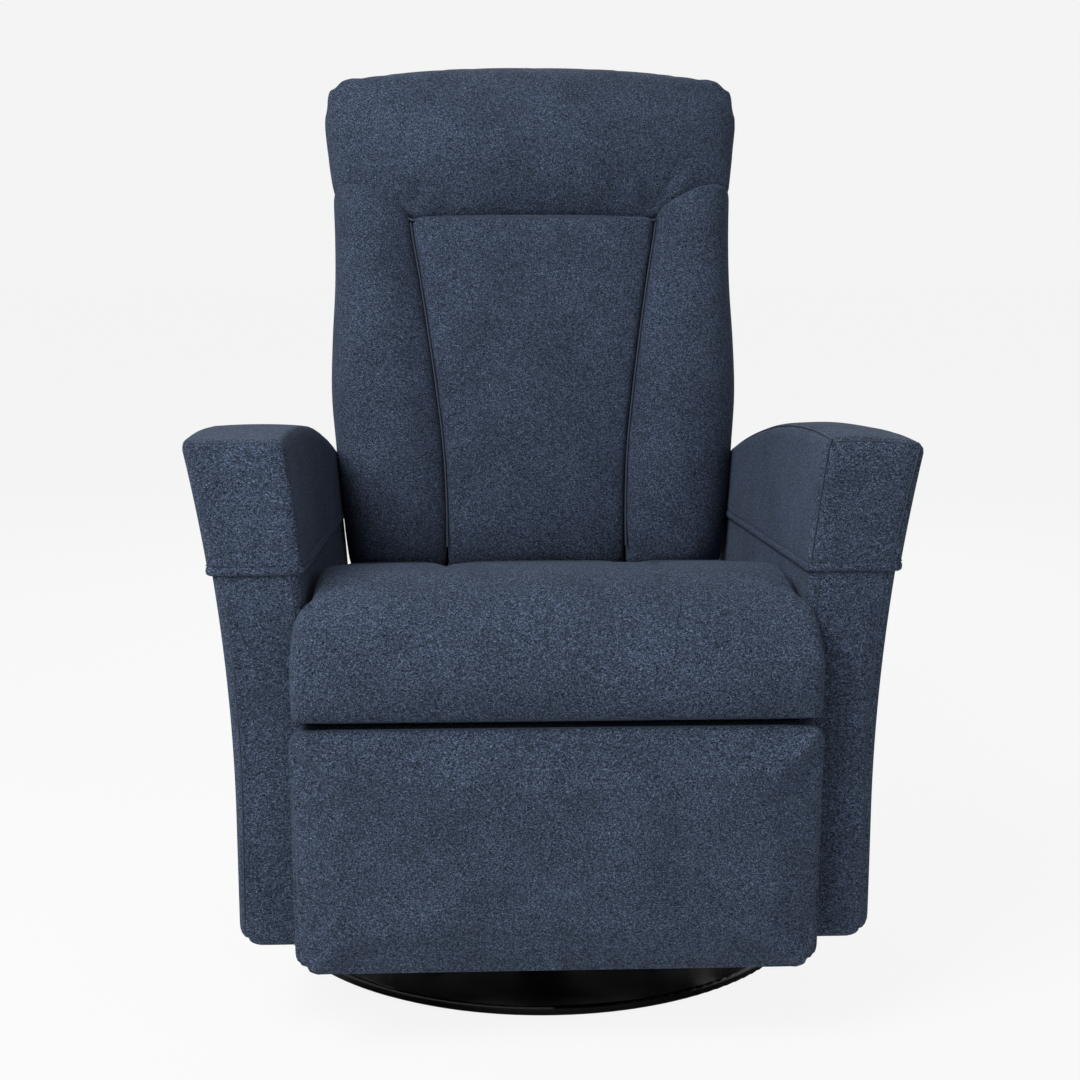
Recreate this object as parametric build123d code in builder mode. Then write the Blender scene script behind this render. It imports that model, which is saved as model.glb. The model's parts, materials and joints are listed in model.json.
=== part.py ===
from build123d import *
from math import cos, radians, sin, tan
import os

# Upholstered swivel recliner, in millimetres. The sitter faces -Y, +X is the sitter's left,
# +Z is up, and the swivel axis meets the floor at the origin.

# Fits
FIT_GAP = 0.02
RUN_GAP = 0.05
FREE_GAP = 0.5
BEARING_PLAY = 0.3

# Disc base and column
FELT_THICKNESS = 3.0
FELT_INSET = 8.0
DISC_RADIUS = 327.0
DISC_THICKNESS = 11.0
DISC_EDGE = 3.0
FLANGE_RADIUS = 80.0
FLANGE_THICKNESS = 8.0
FLANGE_BOLTS = 6
FLANGE_BOLT_CIRCLE = 58.0
BOLT_RADIUS = 5.0
BOLT_HEAD_RADIUS = 9.0
BOLT_HEAD_HEIGHT = 6.0
BOLT_END_GAP = 1.0
COLUMN_RADIUS = 32.0
COLUMN_HEIGHT = 72.0
COLLAR_RADIUS = 48.0
COLLAR_THICKNESS = 6.0
SPINDLE_RADIUS = 20.0
SPINDLE_LENGTH = 88.0
SPINDLE_HEAD_RADIUS = 34.0
SPINDLE_HEAD_HEIGHT = 8.0
BUSH_WALL = 4.0
BUSH_LENGTH = 68.0
RACE_INNER = 27.0
RACE_OUTER = 46.0
RACE_THICKNESS = 4.0
BALL_RADIUS = 4.0
BALL_COUNT = 18

# Swivel chassis
SWIVEL_PLATE = 260.0
SWIVEL_PLATE_THICKNESS = 8.0
TUBE_SIZE = 30.0
TUBE_WALL = 2.0
RAIL_FRONT = -300.0
RAIL_REAR = 230.0
CROSS_SPREAD = 200.0
SIDE_PLATE_INNER = 190.0
SIDE_PLATE_THICKNESS = 5.0
SIDE_PLATE_TOP = 342.0
SIDE_PLATE_FOOT_FRONT = -230.0
SIDE_BOLT_YS = (-180.0, 0.0, 180.0)
SIDE_BOLT_RADIUS = 4.0
SIDE_BOLT_HEAD_RADIUS = 8.0
SIDE_BOLT_LENGTH = 20.0

# Recline pivot and strut
RECLINE_Y = 165.0
RECLINE_Z = 385.0
RECLINE_RANGE = 30.0
RECLINE_PIN_RADIUS = 8.0
RECLINE_EYE = 20.0
RECLINE_HEAD_RADIUS = 13.0
RECLINE_HEAD_HEIGHT = 5.0
BRACKET_THICKNESS = 5.0
BRACKET_GAP = 2.0
BRACKET_RISE = 110.0
STRUT_DROP = 130.0
STRUT_RADIUS = 13.0
STRUT_LENGTH = 150.0
STRUT_ROD_RADIUS = 5.0
STRUT_ROD_LENGTH = 180.0
STRUT_EYE_RADIUS = 9.0
STRUT_EYE_WIDTH = 12.0
STRUT_MOUNT_WIDTH = 40.0
STRUT_MOUNT_THICKNESS = 8.0
LEVER_THICKNESS = 4.0
LEVER_RIM = 9.0
LEVER_COLLAR = 3.0

# Footrest linkage, side view
FOOT_PIVOT_Y = -366.0
FOOT_PIVOT_Z = 300.0
UPPER_LINK = 150.0
LOWER_LINK = 125.0
UPPER_LINK_LEAN = 5.0
LOWER_LINK_LEAN = 2.0
LINK_THICKNESS = 5.0
LINK_HALF_WIDTH = 12.0
LINK_GAP = 0.7
LINK_PIN_RADIUS = 6.0
LINK_HEAD_RADIUS = 9.0
LINK_HEAD_HEIGHT = 3.5
LEG_TUBE_RADIUS = 9.0

# Footrest panel
FOOT_BACK = -386.0
FOOT_BOX_DEPTH = 26.0
FOOT_BOARD_THICKNESS = 12.0
FOOT_BOARD_INSET = 22.0
FOOT_BOX_TOP = 356.0
FOOT_BOX_BOTTOM = 99.0
FOOT_BOX_TOP_HALF = 277.0
FOOT_BOX_BOTTOM_HALF = 275.0
FOOT_BOX_CORNER = 22.0
FOOT_PAD_TOP = 358.0
FOOT_PAD_BOTTOM = 94.0
FOOT_PAD_TOP_HALF = 277.0
FOOT_PAD_BOTTOM_HALF = 270.0
FOOT_PAD_DEPTH = 23.0
FOOT_PAD_CROWN = 5.0
FOOT_BRACKET_HEIGHT = 60.0
FOOT_BRACKET_WIDTH = 26.0

# Seat
SEAT_RAIL_WIDTH = 26.0
SEAT_RAIL_HEIGHT = 40.0
SEAT_RAIL_FRONT = -325.0
SEAT_RAIL_REAR = 60.0
SEAT_CROSS_DEPTH = 25.0
SEAT_CROSS_HEIGHT = 34.0
SEAT_SPRINGS = 5
SEAT_SPRING_SPACING = 70.0
SPRING_WIRE = 1.9
SPRING_SWING = 22.0
SPRING_PITCH = 24.0
SPRING_BEND = 9.0
SEAT_ARM_GAP = 2.0
SEAT_SEAM_HALF = 115.0
SEAT_SEAM_DEPTH = 5.0
SEAT_SHOULDER = 15.0
SEAT_SIDE_CROWN = 5.0
SEAT_BULGE_DROP = 1.0
SEAT_FRONT_FACE = -390.0
SEAT_FRONT_TOP = 470.0
SEAT_CREST_Y = -325.0
SEAT_CREST_Z = 480.0
SEAT_MIDDLE_Y = -110.0
SEAT_MIDDLE_Z = 456.0
SEAT_REAR_Y = 110.0
SEAT_REAR_Z = 438.0
SEAT_TOE_DEPTH = 30.0
ROLL_FRONT = -434.0
ROLL_BACK = -384.0
ROLL_BOTTOM = 365.0
ROLL_TOP = 473.0
ROLL_HALF = 273.0
ROLL_END = 22.0
ROLL_END_SHRINK = 14.0
ROLL_SHOULDER_SHRINK = 3.0
ROLL_LEVEL_HALF = 160.0
ROLL_FLAT = 16.0
ROLL_TOP_FLAT = 4.0

# Arms
ARM_FRONT = -379.0
ARM_REAR = 235.0
ARM_BOTTOM = 108.0
ARM_TOP = 646.0
ARM_TOP_MIDDLE = -40.0
ARM_TOP_SAG = 25.0
ARM_TOP_DROP = 86.0
ARM_FLARE_START = 250.0
ARM_INNER = 250.0
ARM_INNER_TOP = 280.0
ARM_OUTER = 334.0
ARM_OUTER_TOP = 375.5
ARM_BOTTOM_CORNER = 22.0
ARM_EDGE = 8.0
CAP_THICKNESS = 4.0
CAP_BOTTOM = 511.0
CAP_REAR_BOTTOM = 478.0
CORE_INNER = 276.0
CORE_THICKNESS = 28.0
CORE_TOP = 450.0
CORE_END_INSET = 30.0
ARM_BRACKET_YS = (-200.0, 120.0)
ARM_BRACKET_LENGTH = 40.0
ARM_BRACKET_HEIGHT = 30.0
ARM_BRACKET_BOTTOM = 150.0
REAR_PANEL_THICKNESS = 16.0
REAR_PANEL_HALF = 245.0
REAR_PANEL_TOP = 335.0

# Back, along its own leaning line
BACK_LEAN = 15.0
BACK_FOOT_Y = 207.0
BACK_FOOT_Z = 415.0
UPRIGHT_X = 172.0
UPRIGHT_RADIUS = 11.0
UPRIGHT_WALL = 2.0
UPRIGHT_START = -30.0
UPRIGHT_END = 440.0
LOWER_CROSS_AT = -18.0
UPPER_CROSS_AT = 425.0
BACK_SPRINGS = 4
BACK_SPRING_START = 80.0
BACK_SPRING_SPACING = 100.0
BACK_SPRING_SWING = 18.0
PANEL_SEAM_DEPTH = 84.0
PANEL_CROWN = 11.0
BOLSTER_RISE = 16.0
BOLSTER_EDGE_DEPTH = 30.0
BOLSTER_WRAP_GAP = 4.0
SHELL_FRONT_DEPTH = 26.5
SHELL_THICKNESS = 12.0
SHELL_CROWN = 9.0
SEWN_GAP = 0.3
BACK_CUSHION_END = 447.0

HEAD_REAR_DEPTH = SHELL_FRONT_DEPTH - SEWN_GAP
SEAT_HALF = ARM_INNER - SEAT_ARM_GAP
SEAT_BOTTOM = SIDE_PLATE_TOP + 2 * SPRING_WIRE + FIT_GAP + SEWN_GAP
UPRIGHT_DEPTH = UPRIGHT_RADIUS + SEWN_GAP
DISC_TOP = FELT_THICKNESS + DISC_THICKNESS
COLUMN_TOP = DISC_TOP + COLUMN_HEIGHT
LOWER_RACE_TOP = COLUMN_TOP + RACE_THICKNESS
BALL_CENTRE = LOWER_RACE_TOP + FIT_GAP + BALL_RADIUS
BALL_CIRCLE = (RACE_INNER + RACE_OUTER) / 2
UPPER_RACE_BOTTOM = BALL_CENTRE + BALL_RADIUS + BEARING_PLAY
PLATE_BOTTOM = UPPER_RACE_BOTTOM + RACE_THICKNESS
PLATE_TOP = PLATE_BOTTOM + SWIVEL_PLATE_THICKNESS
RAIL_TOP = PLATE_TOP + TUBE_SIZE
RAIL_X = SIDE_PLATE_INNER - TUBE_SIZE / 2
SIDE_PLATE_OUTER = SIDE_PLATE_INNER + SIDE_PLATE_THICKNESS
BUSH_OUTER = SPINDLE_RADIUS + BUSH_WALL

KNEE_Y = FOOT_PIVOT_Y + LOWER_LINK * sin(radians(LOWER_LINK_LEAN))
KNEE_Z = FOOT_PIVOT_Z - LOWER_LINK * cos(radians(LOWER_LINK_LEAN))
LEG_Y = KNEE_Y + UPPER_LINK * sin(radians(UPPER_LINK_LEAN))
LEG_Z = KNEE_Z + UPPER_LINK * cos(radians(UPPER_LINK_LEAN))
UPPER_LINK_X = SIDE_PLATE_INNER - LINK_GAP - LINK_THICKNESS
LOWER_LINK_X = UPPER_LINK_X - LINK_GAP - LINK_THICKNESS
FOOT_BRACKET_X = LOWER_LINK_X - LINK_GAP - LINK_THICKNESS

STRUT_Z = RECLINE_Z - STRUT_DROP
STRUT_PIN_Y = RECLINE_Y + STRUT_DROP * tan(radians(RECLINE_RANGE / 2))
BRACKET_X = SIDE_PLATE_INNER - BRACKET_GAP - BRACKET_THICKNESS
BOLSTER_WRAP_X = BRACKET_X + BRACKET_THICKNESS + BOLSTER_WRAP_GAP

os.makedirs("parts", exist_ok=True)


def save(part, name):
    """Label one finished piece and write it to its own file."""
    part.label = name
    export_step(part, f"parts/{name}.step")


def save_pair(part, name):
    """Write a piece of the sitter's left side and its mirror image on the right."""
    save(part, f"{name}_left")
    save(mirror(part, about=Plane.YZ), f"{name}_right")


def back_plane(along):
    """Plane across the leaning back: X to the sitter's left, Y towards the rear."""
    lean = radians(BACK_LEAN)
    origin = (0, BACK_FOOT_Y + along * sin(lean), BACK_FOOT_Z + along * cos(lean))
    return Plane(origin=origin, x_dir=(1, 0, 0), z_dir=(0, sin(lean), cos(lean)))


def back_point(along, depth):
    """World Y and Z of a point at a height along the back and a depth behind its line."""
    lean = radians(BACK_LEAN)
    y = BACK_FOOT_Y + along * sin(lean) + depth * cos(lean)
    z = BACK_FOOT_Z + along * cos(lean) - depth * sin(lean)
    return (y, z)


# Disc base
with BuildPart() as felt:
    with BuildSketch():
        Circle(DISC_RADIUS - FELT_INSET)
    extrude(amount=FELT_THICKNESS)
save(felt.part, "base_felt")

with BuildPart() as disc:
    with BuildSketch(Plane.XY.offset(FELT_THICKNESS)):
        Circle(DISC_RADIUS)
        with PolarLocations(FLANGE_BOLT_CIRCLE, FLANGE_BOLTS):
            Circle(BOLT_RADIUS + FIT_GAP, mode=Mode.SUBTRACT)
    extrude(amount=DISC_THICKNESS)
    rim = disc.edges().filter_by(GeomType.CIRCLE).sort_by(SortBy.RADIUS)[-2:]
    fillet(rim, DISC_EDGE)
save(disc.part, "base_disc")

with BuildPart() as column:
    with BuildSketch(Plane.XY.offset(DISC_TOP)):
        Circle(FLANGE_RADIUS)
        with PolarLocations(FLANGE_BOLT_CIRCLE, FLANGE_BOLTS):
            Circle(BOLT_RADIUS + FIT_GAP, mode=Mode.SUBTRACT)
    extrude(amount=FLANGE_THICKNESS)
    with BuildSketch(Plane.XY.offset(DISC_TOP)):
        Circle(COLUMN_RADIUS)
    extrude(amount=COLUMN_HEIGHT)
    with BuildSketch(Plane.XY.offset(COLUMN_TOP - COLLAR_THICKNESS)):
        Circle(COLLAR_RADIUS)
    extrude(amount=COLLAR_THICKNESS)
    with BuildSketch(Plane.XY.offset(DISC_TOP)):
        Circle(BUSH_OUTER + FIT_GAP)
    extrude(amount=COLUMN_HEIGHT, mode=Mode.SUBTRACT)
save(column.part, "column")

with BuildPart() as column_bolts:
    with BuildSketch(Plane.XY.offset(FELT_THICKNESS + BOLT_END_GAP)):
        with PolarLocations(FLANGE_BOLT_CIRCLE, FLANGE_BOLTS):
            Circle(BOLT_RADIUS)
    extrude(amount=DISC_THICKNESS - BOLT_END_GAP + FLANGE_THICKNESS)
    with BuildSketch(Plane.XY.offset(DISC_TOP + FLANGE_THICKNESS)):
        with PolarLocations(FLANGE_BOLT_CIRCLE, FLANGE_BOLTS):
            RegularPolygon(BOLT_HEAD_RADIUS, 6)
    extrude(amount=BOLT_HEAD_HEIGHT)
save(column_bolts.part, "column_bolts")

with BuildPart() as bush:
    with BuildSketch(Plane.XY.offset(COLUMN_TOP - BUSH_LENGTH)):
        Circle(BUSH_OUTER)
        Circle(SPINDLE_RADIUS + RUN_GAP, mode=Mode.SUBTRACT)
    extrude(amount=BUSH_LENGTH)
save(bush.part, "column_bush")

with BuildPart() as lower_race:
    with BuildSketch(Plane.XY.offset(COLUMN_TOP)):
        Circle(RACE_OUTER)
        Circle(RACE_INNER, mode=Mode.SUBTRACT)
    extrude(amount=RACE_THICKNESS)
save(lower_race.part, "lower_race")

with BuildPart(Plane.XY.offset(BALL_CENTRE)) as balls:
    with PolarLocations(BALL_CIRCLE, BALL_COUNT):
        Sphere(BALL_RADIUS)
save(balls.part, "bearing_balls")

# Swivel chassis
with BuildPart() as upper_race:
    with BuildSketch(Plane.XY.offset(UPPER_RACE_BOTTOM)):
        Circle(RACE_OUTER)
        Circle(RACE_INNER, mode=Mode.SUBTRACT)
    extrude(amount=RACE_THICKNESS)
save(upper_race.part, "upper_race")

with BuildPart() as spindle:
    with BuildSketch(Plane.XY.offset(PLATE_TOP - SPINDLE_LENGTH)):
        Circle(SPINDLE_RADIUS)
    extrude(amount=SPINDLE_LENGTH)
    with BuildSketch(Plane.XY.offset(PLATE_TOP)):
        Circle(SPINDLE_HEAD_RADIUS)
    extrude(amount=SPINDLE_HEAD_HEIGHT)
save(spindle.part, "spindle")

with BuildPart() as swivel_plate:
    with BuildSketch(Plane.XY.offset(PLATE_BOTTOM)):
        RectangleRounded(SWIVEL_PLATE, SWIVEL_PLATE, SPINDLE_RADIUS)
        Circle(SPINDLE_RADIUS + FIT_GAP, mode=Mode.SUBTRACT)
    extrude(amount=SWIVEL_PLATE_THICKNESS)
save(swivel_plate.part, "swivel_plate")

for cross_name, cross_y in (("front", -CROSS_SPREAD / 2), ("rear", CROSS_SPREAD / 2)):
    with BuildPart() as cross:
        with BuildSketch(Plane.YZ.offset(-RAIL_X + TUBE_SIZE / 2)):
            with Locations((cross_y, PLATE_TOP + TUBE_SIZE / 2)):
                Rectangle(TUBE_SIZE, TUBE_SIZE)
                Rectangle(TUBE_SIZE - 2 * TUBE_WALL, TUBE_SIZE - 2 * TUBE_WALL, mode=Mode.SUBTRACT)
        extrude(amount=2 * RAIL_X - TUBE_SIZE)
    save(cross.part, f"chassis_cross_{cross_name}")

with BuildPart() as rail:
    with BuildSketch(Plane.XZ.offset(-RAIL_REAR)):
        with Locations((RAIL_X, PLATE_TOP + TUBE_SIZE / 2)):
            Rectangle(TUBE_SIZE, TUBE_SIZE)
            Rectangle(TUBE_SIZE - 2 * TUBE_WALL, TUBE_SIZE - 2 * TUBE_WALL, mode=Mode.SUBTRACT)
    extrude(amount=RAIL_REAR - RAIL_FRONT)
    with BuildSketch(Plane.YZ.offset(SIDE_PLATE_INNER - 2 * TUBE_WALL)):
        for bolt_y in SIDE_BOLT_YS:
            with Locations((bolt_y, PLATE_TOP + TUBE_SIZE / 2)):
                Circle(SIDE_BOLT_RADIUS + FIT_GAP)
    extrude(amount=2 * TUBE_WALL, mode=Mode.SUBTRACT)
save_pair(rail.part, "chassis_rail")

with BuildPart() as side_plate:
    with BuildSketch(Plane.YZ.offset(SIDE_PLATE_INNER)):
        with BuildLine():
            Polyline(
                (SIDE_PLATE_FOOT_FRONT, PLATE_TOP),
                (LEG_Y - 2 * LINK_PIN_RADIUS, LEG_Z - 3 * LINK_PIN_RADIUS),
                (LEG_Y - 2 * LINK_PIN_RADIUS, SIDE_PLATE_TOP),
                (SEAT_REAR_Y + SEAT_ARM_GAP, SIDE_PLATE_TOP),
                (RECLINE_Y - RECLINE_EYE, RECLINE_Z + RECLINE_EYE),
                (RECLINE_Y + RECLINE_EYE, RECLINE_Z + RECLINE_EYE),
                (RAIL_REAR, PLATE_TOP),
                close=True,
            )
        make_face()
        with Locations((LEG_Y, LEG_Z)):
            Circle(LINK_PIN_RADIUS + RUN_GAP, mode=Mode.SUBTRACT)
        with Locations((RECLINE_Y, RECLINE_Z)):
            Circle(RECLINE_PIN_RADIUS + FIT_GAP, mode=Mode.SUBTRACT)
        for bolt_y in SIDE_BOLT_YS:
            with Locations((bolt_y, PLATE_TOP + TUBE_SIZE / 2)):
                Circle(SIDE_BOLT_RADIUS + FIT_GAP, mode=Mode.SUBTRACT)
    extrude(amount=SIDE_PLATE_THICKNESS)
save_pair(side_plate.part, "side_plate")

with BuildPart() as side_bolts:
    with BuildSketch(Plane.YZ.offset(SIDE_PLATE_OUTER - SIDE_BOLT_LENGTH)):
        for bolt_y in SIDE_BOLT_YS:
            with Locations((bolt_y, PLATE_TOP + TUBE_SIZE / 2)):
                Circle(SIDE_BOLT_RADIUS)
    extrude(amount=SIDE_BOLT_LENGTH)
    with BuildSketch(Plane.YZ.offset(SIDE_PLATE_OUTER)):
        for bolt_y in SIDE_BOLT_YS:
            with Locations((bolt_y, PLATE_TOP + TUBE_SIZE / 2)):
                RegularPolygon(SIDE_BOLT_HEAD_RADIUS, 6)
    extrude(amount=BOLT_HEAD_HEIGHT)
    mirror(about=Plane.YZ)
save(side_bolts.part, "side_bolts")

with BuildPart() as recline_pins:
    with BuildSketch(Plane.YZ.offset(BRACKET_X)):
        with Locations((RECLINE_Y, RECLINE_Z)):
            Circle(RECLINE_PIN_RADIUS)
    extrude(amount=SIDE_PLATE_OUTER - BRACKET_X)
    with BuildSketch(Plane.YZ.offset(SIDE_PLATE_OUTER)):
        with Locations((RECLINE_Y, RECLINE_Z)):
            Circle(RECLINE_HEAD_RADIUS)
    extrude(amount=RECLINE_HEAD_HEIGHT)
    mirror(about=Plane.YZ)
save(recline_pins.part, "recline_pins")

# Seat frame and springs
with BuildPart() as seat_rail:
    with BuildSketch(Plane.XZ.offset(-SEAT_RAIL_REAR)):
        with Locations((SIDE_PLATE_OUTER + SEAT_RAIL_WIDTH / 2, SIDE_PLATE_TOP - SEAT_RAIL_HEIGHT / 2)):
            Rectangle(SEAT_RAIL_WIDTH, SEAT_RAIL_HEIGHT)
    extrude(amount=SEAT_RAIL_REAR - SEAT_RAIL_FRONT)
save_pair(seat_rail.part, "seat_rail")

for cross_name, cross_y in (("front", SEAT_RAIL_FRONT), ("rear", SEAT_RAIL_REAR - SEAT_CROSS_DEPTH)):
    with BuildPart() as seat_cross:
        with BuildSketch(Plane.YZ.offset(-SIDE_PLATE_INNER)):
            with Locations((cross_y + SEAT_CROSS_DEPTH / 2, SIDE_PLATE_TOP - SEAT_CROSS_HEIGHT / 2)):
                Rectangle(SEAT_CROSS_DEPTH, SEAT_CROSS_HEIGHT)
        extrude(amount=2 * SIDE_PLATE_INNER)
    save(seat_cross.part, f"seat_cross_{cross_name}")

SEAT_SPRING_TURNS = int((SEAT_RAIL_REAR - SEAT_RAIL_FRONT - SEAT_CROSS_DEPTH) / SPRING_PITCH)
with BuildPart() as seat_springs:
    for wire in range(SEAT_SPRINGS):
        wire_x = (wire - (SEAT_SPRINGS - 1) / 2) * SEAT_SPRING_SPACING
        wire_z = SIDE_PLATE_TOP + SPRING_WIRE + FIT_GAP
        first_y = SEAT_RAIL_FRONT + SEAT_CROSS_DEPTH / 2
        bends = [(wire_x - SPRING_SWING, first_y, wire_z)]
        for turn in range(SEAT_SPRING_TURNS):
            side = 1 if turn % 2 == 0 else -1
            turn_y = first_y + turn * SPRING_PITCH
            bends.append((wire_x + side * SPRING_SWING, turn_y, wire_z))
            bends.append((wire_x + side * SPRING_SWING, turn_y + SPRING_PITCH, wire_z))
        bends.append((wire_x, first_y + SEAT_SPRING_TURNS * SPRING_PITCH, wire_z))
        with BuildLine() as path:
            FilletPolyline(*bends, radius=SPRING_BEND)
        with BuildSketch(Plane(origin=path.line @ 0, z_dir=path.line % 0)):
            Circle(SPRING_WIRE)
        sweep(path=path.line)
save(seat_springs.part, "seat_springs")

# Seat cushion: a three-channel top and a front roll that spreads in front of the arms
with BuildPart() as seat:
    stations = (
        (SEAT_FRONT_FACE, SEAT_FRONT_TOP),
        (SEAT_CREST_Y, SEAT_CREST_Z),
        (SEAT_MIDDLE_Y, SEAT_MIDDLE_Z),
        (SEAT_REAR_Y, SEAT_REAR_Z),
    )
    for station_y, top in stations:
        shoulder = top - SEAT_SHOULDER
        notch = top - SEAT_SEAM_DEPTH
        edge = SEAT_HALF - SEAT_SHOULDER
        bulge = (SEAT_SEAM_HALF + edge) / 2
        with BuildSketch(Plane.XZ.offset(-station_y)):
            with BuildLine():
                Line((-SEAT_HALF + SEAT_SIDE_CROWN, SEAT_BOTTOM), (SEAT_HALF - SEAT_SIDE_CROWN, SEAT_BOTTOM))
                ThreePointArc(
                    (SEAT_HALF - SEAT_SIDE_CROWN, SEAT_BOTTOM),
                    (SEAT_HALF, (SEAT_BOTTOM + shoulder) / 2),
                    (edge, shoulder),
                )
                ThreePointArc((edge, shoulder), (bulge, top - SEAT_BULGE_DROP), (SEAT_SEAM_HALF, notch))
                ThreePointArc((SEAT_SEAM_HALF, notch), (0, top), (-SEAT_SEAM_HALF, notch))
                ThreePointArc((-SEAT_SEAM_HALF, notch), (-bulge, top - SEAT_BULGE_DROP), (-edge, shoulder))
                ThreePointArc(
                    (-edge, shoulder),
                    (-SEAT_HALF, (SEAT_BOTTOM + shoulder) / 2),
                    (-SEAT_HALF + SEAT_SIDE_CROWN, SEAT_BOTTOM),
                )
            make_face()
    loft()
    clear_bottom = ROLL_BOTTOM - SEAT_BOTTOM
    with BuildSketch(Plane.XY.offset(SEAT_BOTTOM)):
        with Locations((0, SEAT_FRONT_FACE)):
            Rectangle(2 * ROLL_HALF, 2 * SEAT_TOE_DEPTH)
    extrude(amount=clear_bottom, mode=Mode.SUBTRACT)
    ends = (
        (ROLL_HALF, ROLL_END_SHRINK),
        (ROLL_HALF - ROLL_END, ROLL_SHOULDER_SHRINK),
        (ROLL_LEVEL_HALF, 0.0),
        (0.0, 0.0),
        (-ROLL_LEVEL_HALF, 0.0),
        (ROLL_END - ROLL_HALF, ROLL_SHOULDER_SHRINK),
        (-ROLL_HALF, ROLL_END_SHRINK),
    )
    for end_x, shrink in ends:
        with BuildSketch(Plane.YZ.offset(end_x)):
            low = ROLL_BOTTOM + shrink / 2
            high = ROLL_TOP - 2 * shrink
            with BuildLine():
                Line((ROLL_BACK, low), (ROLL_BACK - ROLL_FLAT, low))
                ThreePointArc(
                    (ROLL_BACK - ROLL_FLAT, low),
                    (ROLL_FRONT + shrink, (low + high) / 2),
                    (ROLL_BACK - ROLL_TOP_FLAT, high),
                )
                Line((ROLL_BACK - ROLL_TOP_FLAT, high), (ROLL_BACK, high))
                Line((ROLL_BACK, high), (ROLL_BACK, low))
            make_face()
    loft()
save(seat.part, "seat_cushion")

# Arms: timber core, padded body and wrap-over cap
INNER_RADIUS = ((ARM_TOP - ARM_FLARE_START) ** 2 / (ARM_INNER_TOP - ARM_INNER) + ARM_INNER_TOP - ARM_INNER) / 2
OUTER_RADIUS = ((ARM_TOP - ARM_FLARE_START) ** 2 / (ARM_OUTER_TOP - ARM_OUTER) + ARM_OUTER_TOP - ARM_OUTER) / 2
FLARE_MIDDLE = (ARM_TOP - ARM_FLARE_START) / 2
INNER_MIDDLE = ARM_INNER + INNER_RADIUS - (INNER_RADIUS**2 - FLARE_MIDDLE**2) ** 0.5
OUTER_MIDDLE = ARM_OUTER + OUTER_RADIUS - (OUTER_RADIUS**2 - FLARE_MIDDLE**2) ** 0.5


def arm_blank(grow, front, rear):
    """Solid of the arm's flared outline, grown sideways and upwards and cut to a sloping top."""
    with BuildPart() as blank:
        with BuildSketch(Plane.XZ.offset(-rear)):
            with BuildLine():
                Line((ARM_INNER - grow, ARM_BOTTOM), (ARM_INNER - grow, ARM_FLARE_START))
                ThreePointArc(
                    (ARM_INNER - grow, ARM_FLARE_START),
                    (INNER_MIDDLE - grow, ARM_FLARE_START + FLARE_MIDDLE),
                    (ARM_INNER_TOP - grow, ARM_TOP + grow),
                )
                Line((ARM_INNER_TOP - grow, ARM_TOP + grow), (ARM_OUTER_TOP + grow, ARM_TOP + grow))
                ThreePointArc(
                    (ARM_OUTER_TOP + grow, ARM_TOP + grow),
                    (OUTER_MIDDLE + grow, ARM_FLARE_START + FLARE_MIDDLE),
                    (ARM_OUTER + grow, ARM_FLARE_START),
                )
                Line((ARM_OUTER + grow, ARM_FLARE_START), (ARM_OUTER + grow, ARM_BOTTOM))
                Line((ARM_OUTER + grow, ARM_BOTTOM), (ARM_INNER - grow, ARM_BOTTOM))
            make_face()
        extrude(amount=rear - front)
        with BuildSketch(Plane.YZ.offset(ARM_INNER / 2)):
            crest = ARM_TOP + grow
            above = crest + CAP_THICKNESS * 5
            with BuildLine():
                ThreePointArc(
                    (front, crest),
                    (ARM_TOP_MIDDLE, crest - ARM_TOP_SAG),
                    (rear, crest - ARM_TOP_DROP),
                )
                Polyline((rear, crest - ARM_TOP_DROP), (rear, above), (front, above), (front, crest))
            make_face()
        extrude(amount=2 * ARM_OUTER, mode=Mode.SUBTRACT)
    return blank.part


with BuildPart() as core:
    with BuildSketch(Plane.XY.offset(ARM_BOTTOM)):
        with Locations((CORE_INNER + CORE_THICKNESS / 2, (ARM_FRONT + ARM_REAR) / 2)):
            Rectangle(CORE_THICKNESS, ARM_REAR - ARM_FRONT - 2 * CORE_END_INSET)
    extrude(amount=CORE_TOP - ARM_BOTTOM)
save_pair(core.part, "arm_core")

with BuildPart() as arm_bracket:
    for bracket_y in ARM_BRACKET_YS:
        with BuildSketch(Plane.YZ.offset(SIDE_PLATE_OUTER)):
            with Locations((bracket_y, ARM_BRACKET_BOTTOM + ARM_BRACKET_HEIGHT / 2)):
                Rectangle(ARM_BRACKET_LENGTH, ARM_BRACKET_HEIGHT)
        extrude(amount=CORE_INNER - SIDE_PLATE_OUTER)
save_pair(arm_bracket.part, "arm_bracket")

with BuildPart() as arm:
    add(arm_blank(0, ARM_FRONT, ARM_REAR))
    bottom_outer = arm.edges().filter_by(Axis.Y).group_by(Axis.Z)[0].sort_by(Axis.X)[-1]
    fillet(bottom_outer, ARM_BOTTOM_CORNER)
    fillet(arm.faces().sort_by(Axis.Y)[0].edges(), ARM_EDGE)
    with BuildSketch(Plane.XY.offset(ARM_BOTTOM)):
        with Locations((CORE_INNER + CORE_THICKNESS / 2, (ARM_FRONT + ARM_REAR) / 2)):
            Rectangle(
                CORE_THICKNESS + 2 * FIT_GAP,
                ARM_REAR - ARM_FRONT - 2 * CORE_END_INSET + 2 * FIT_GAP,
            )
    extrude(amount=CORE_TOP - ARM_BOTTOM + FIT_GAP, mode=Mode.SUBTRACT)
    for bracket_y in ARM_BRACKET_YS:
        with BuildSketch(Plane.YZ.offset(SIDE_PLATE_OUTER)):
            with Locations((bracket_y, ARM_BRACKET_BOTTOM + ARM_BRACKET_HEIGHT / 2)):
                Rectangle(ARM_BRACKET_LENGTH + 2 * FIT_GAP, ARM_BRACKET_HEIGHT + 2 * FIT_GAP)
        extrude(amount=CORE_INNER - SIDE_PLATE_OUTER, mode=Mode.SUBTRACT)
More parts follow.
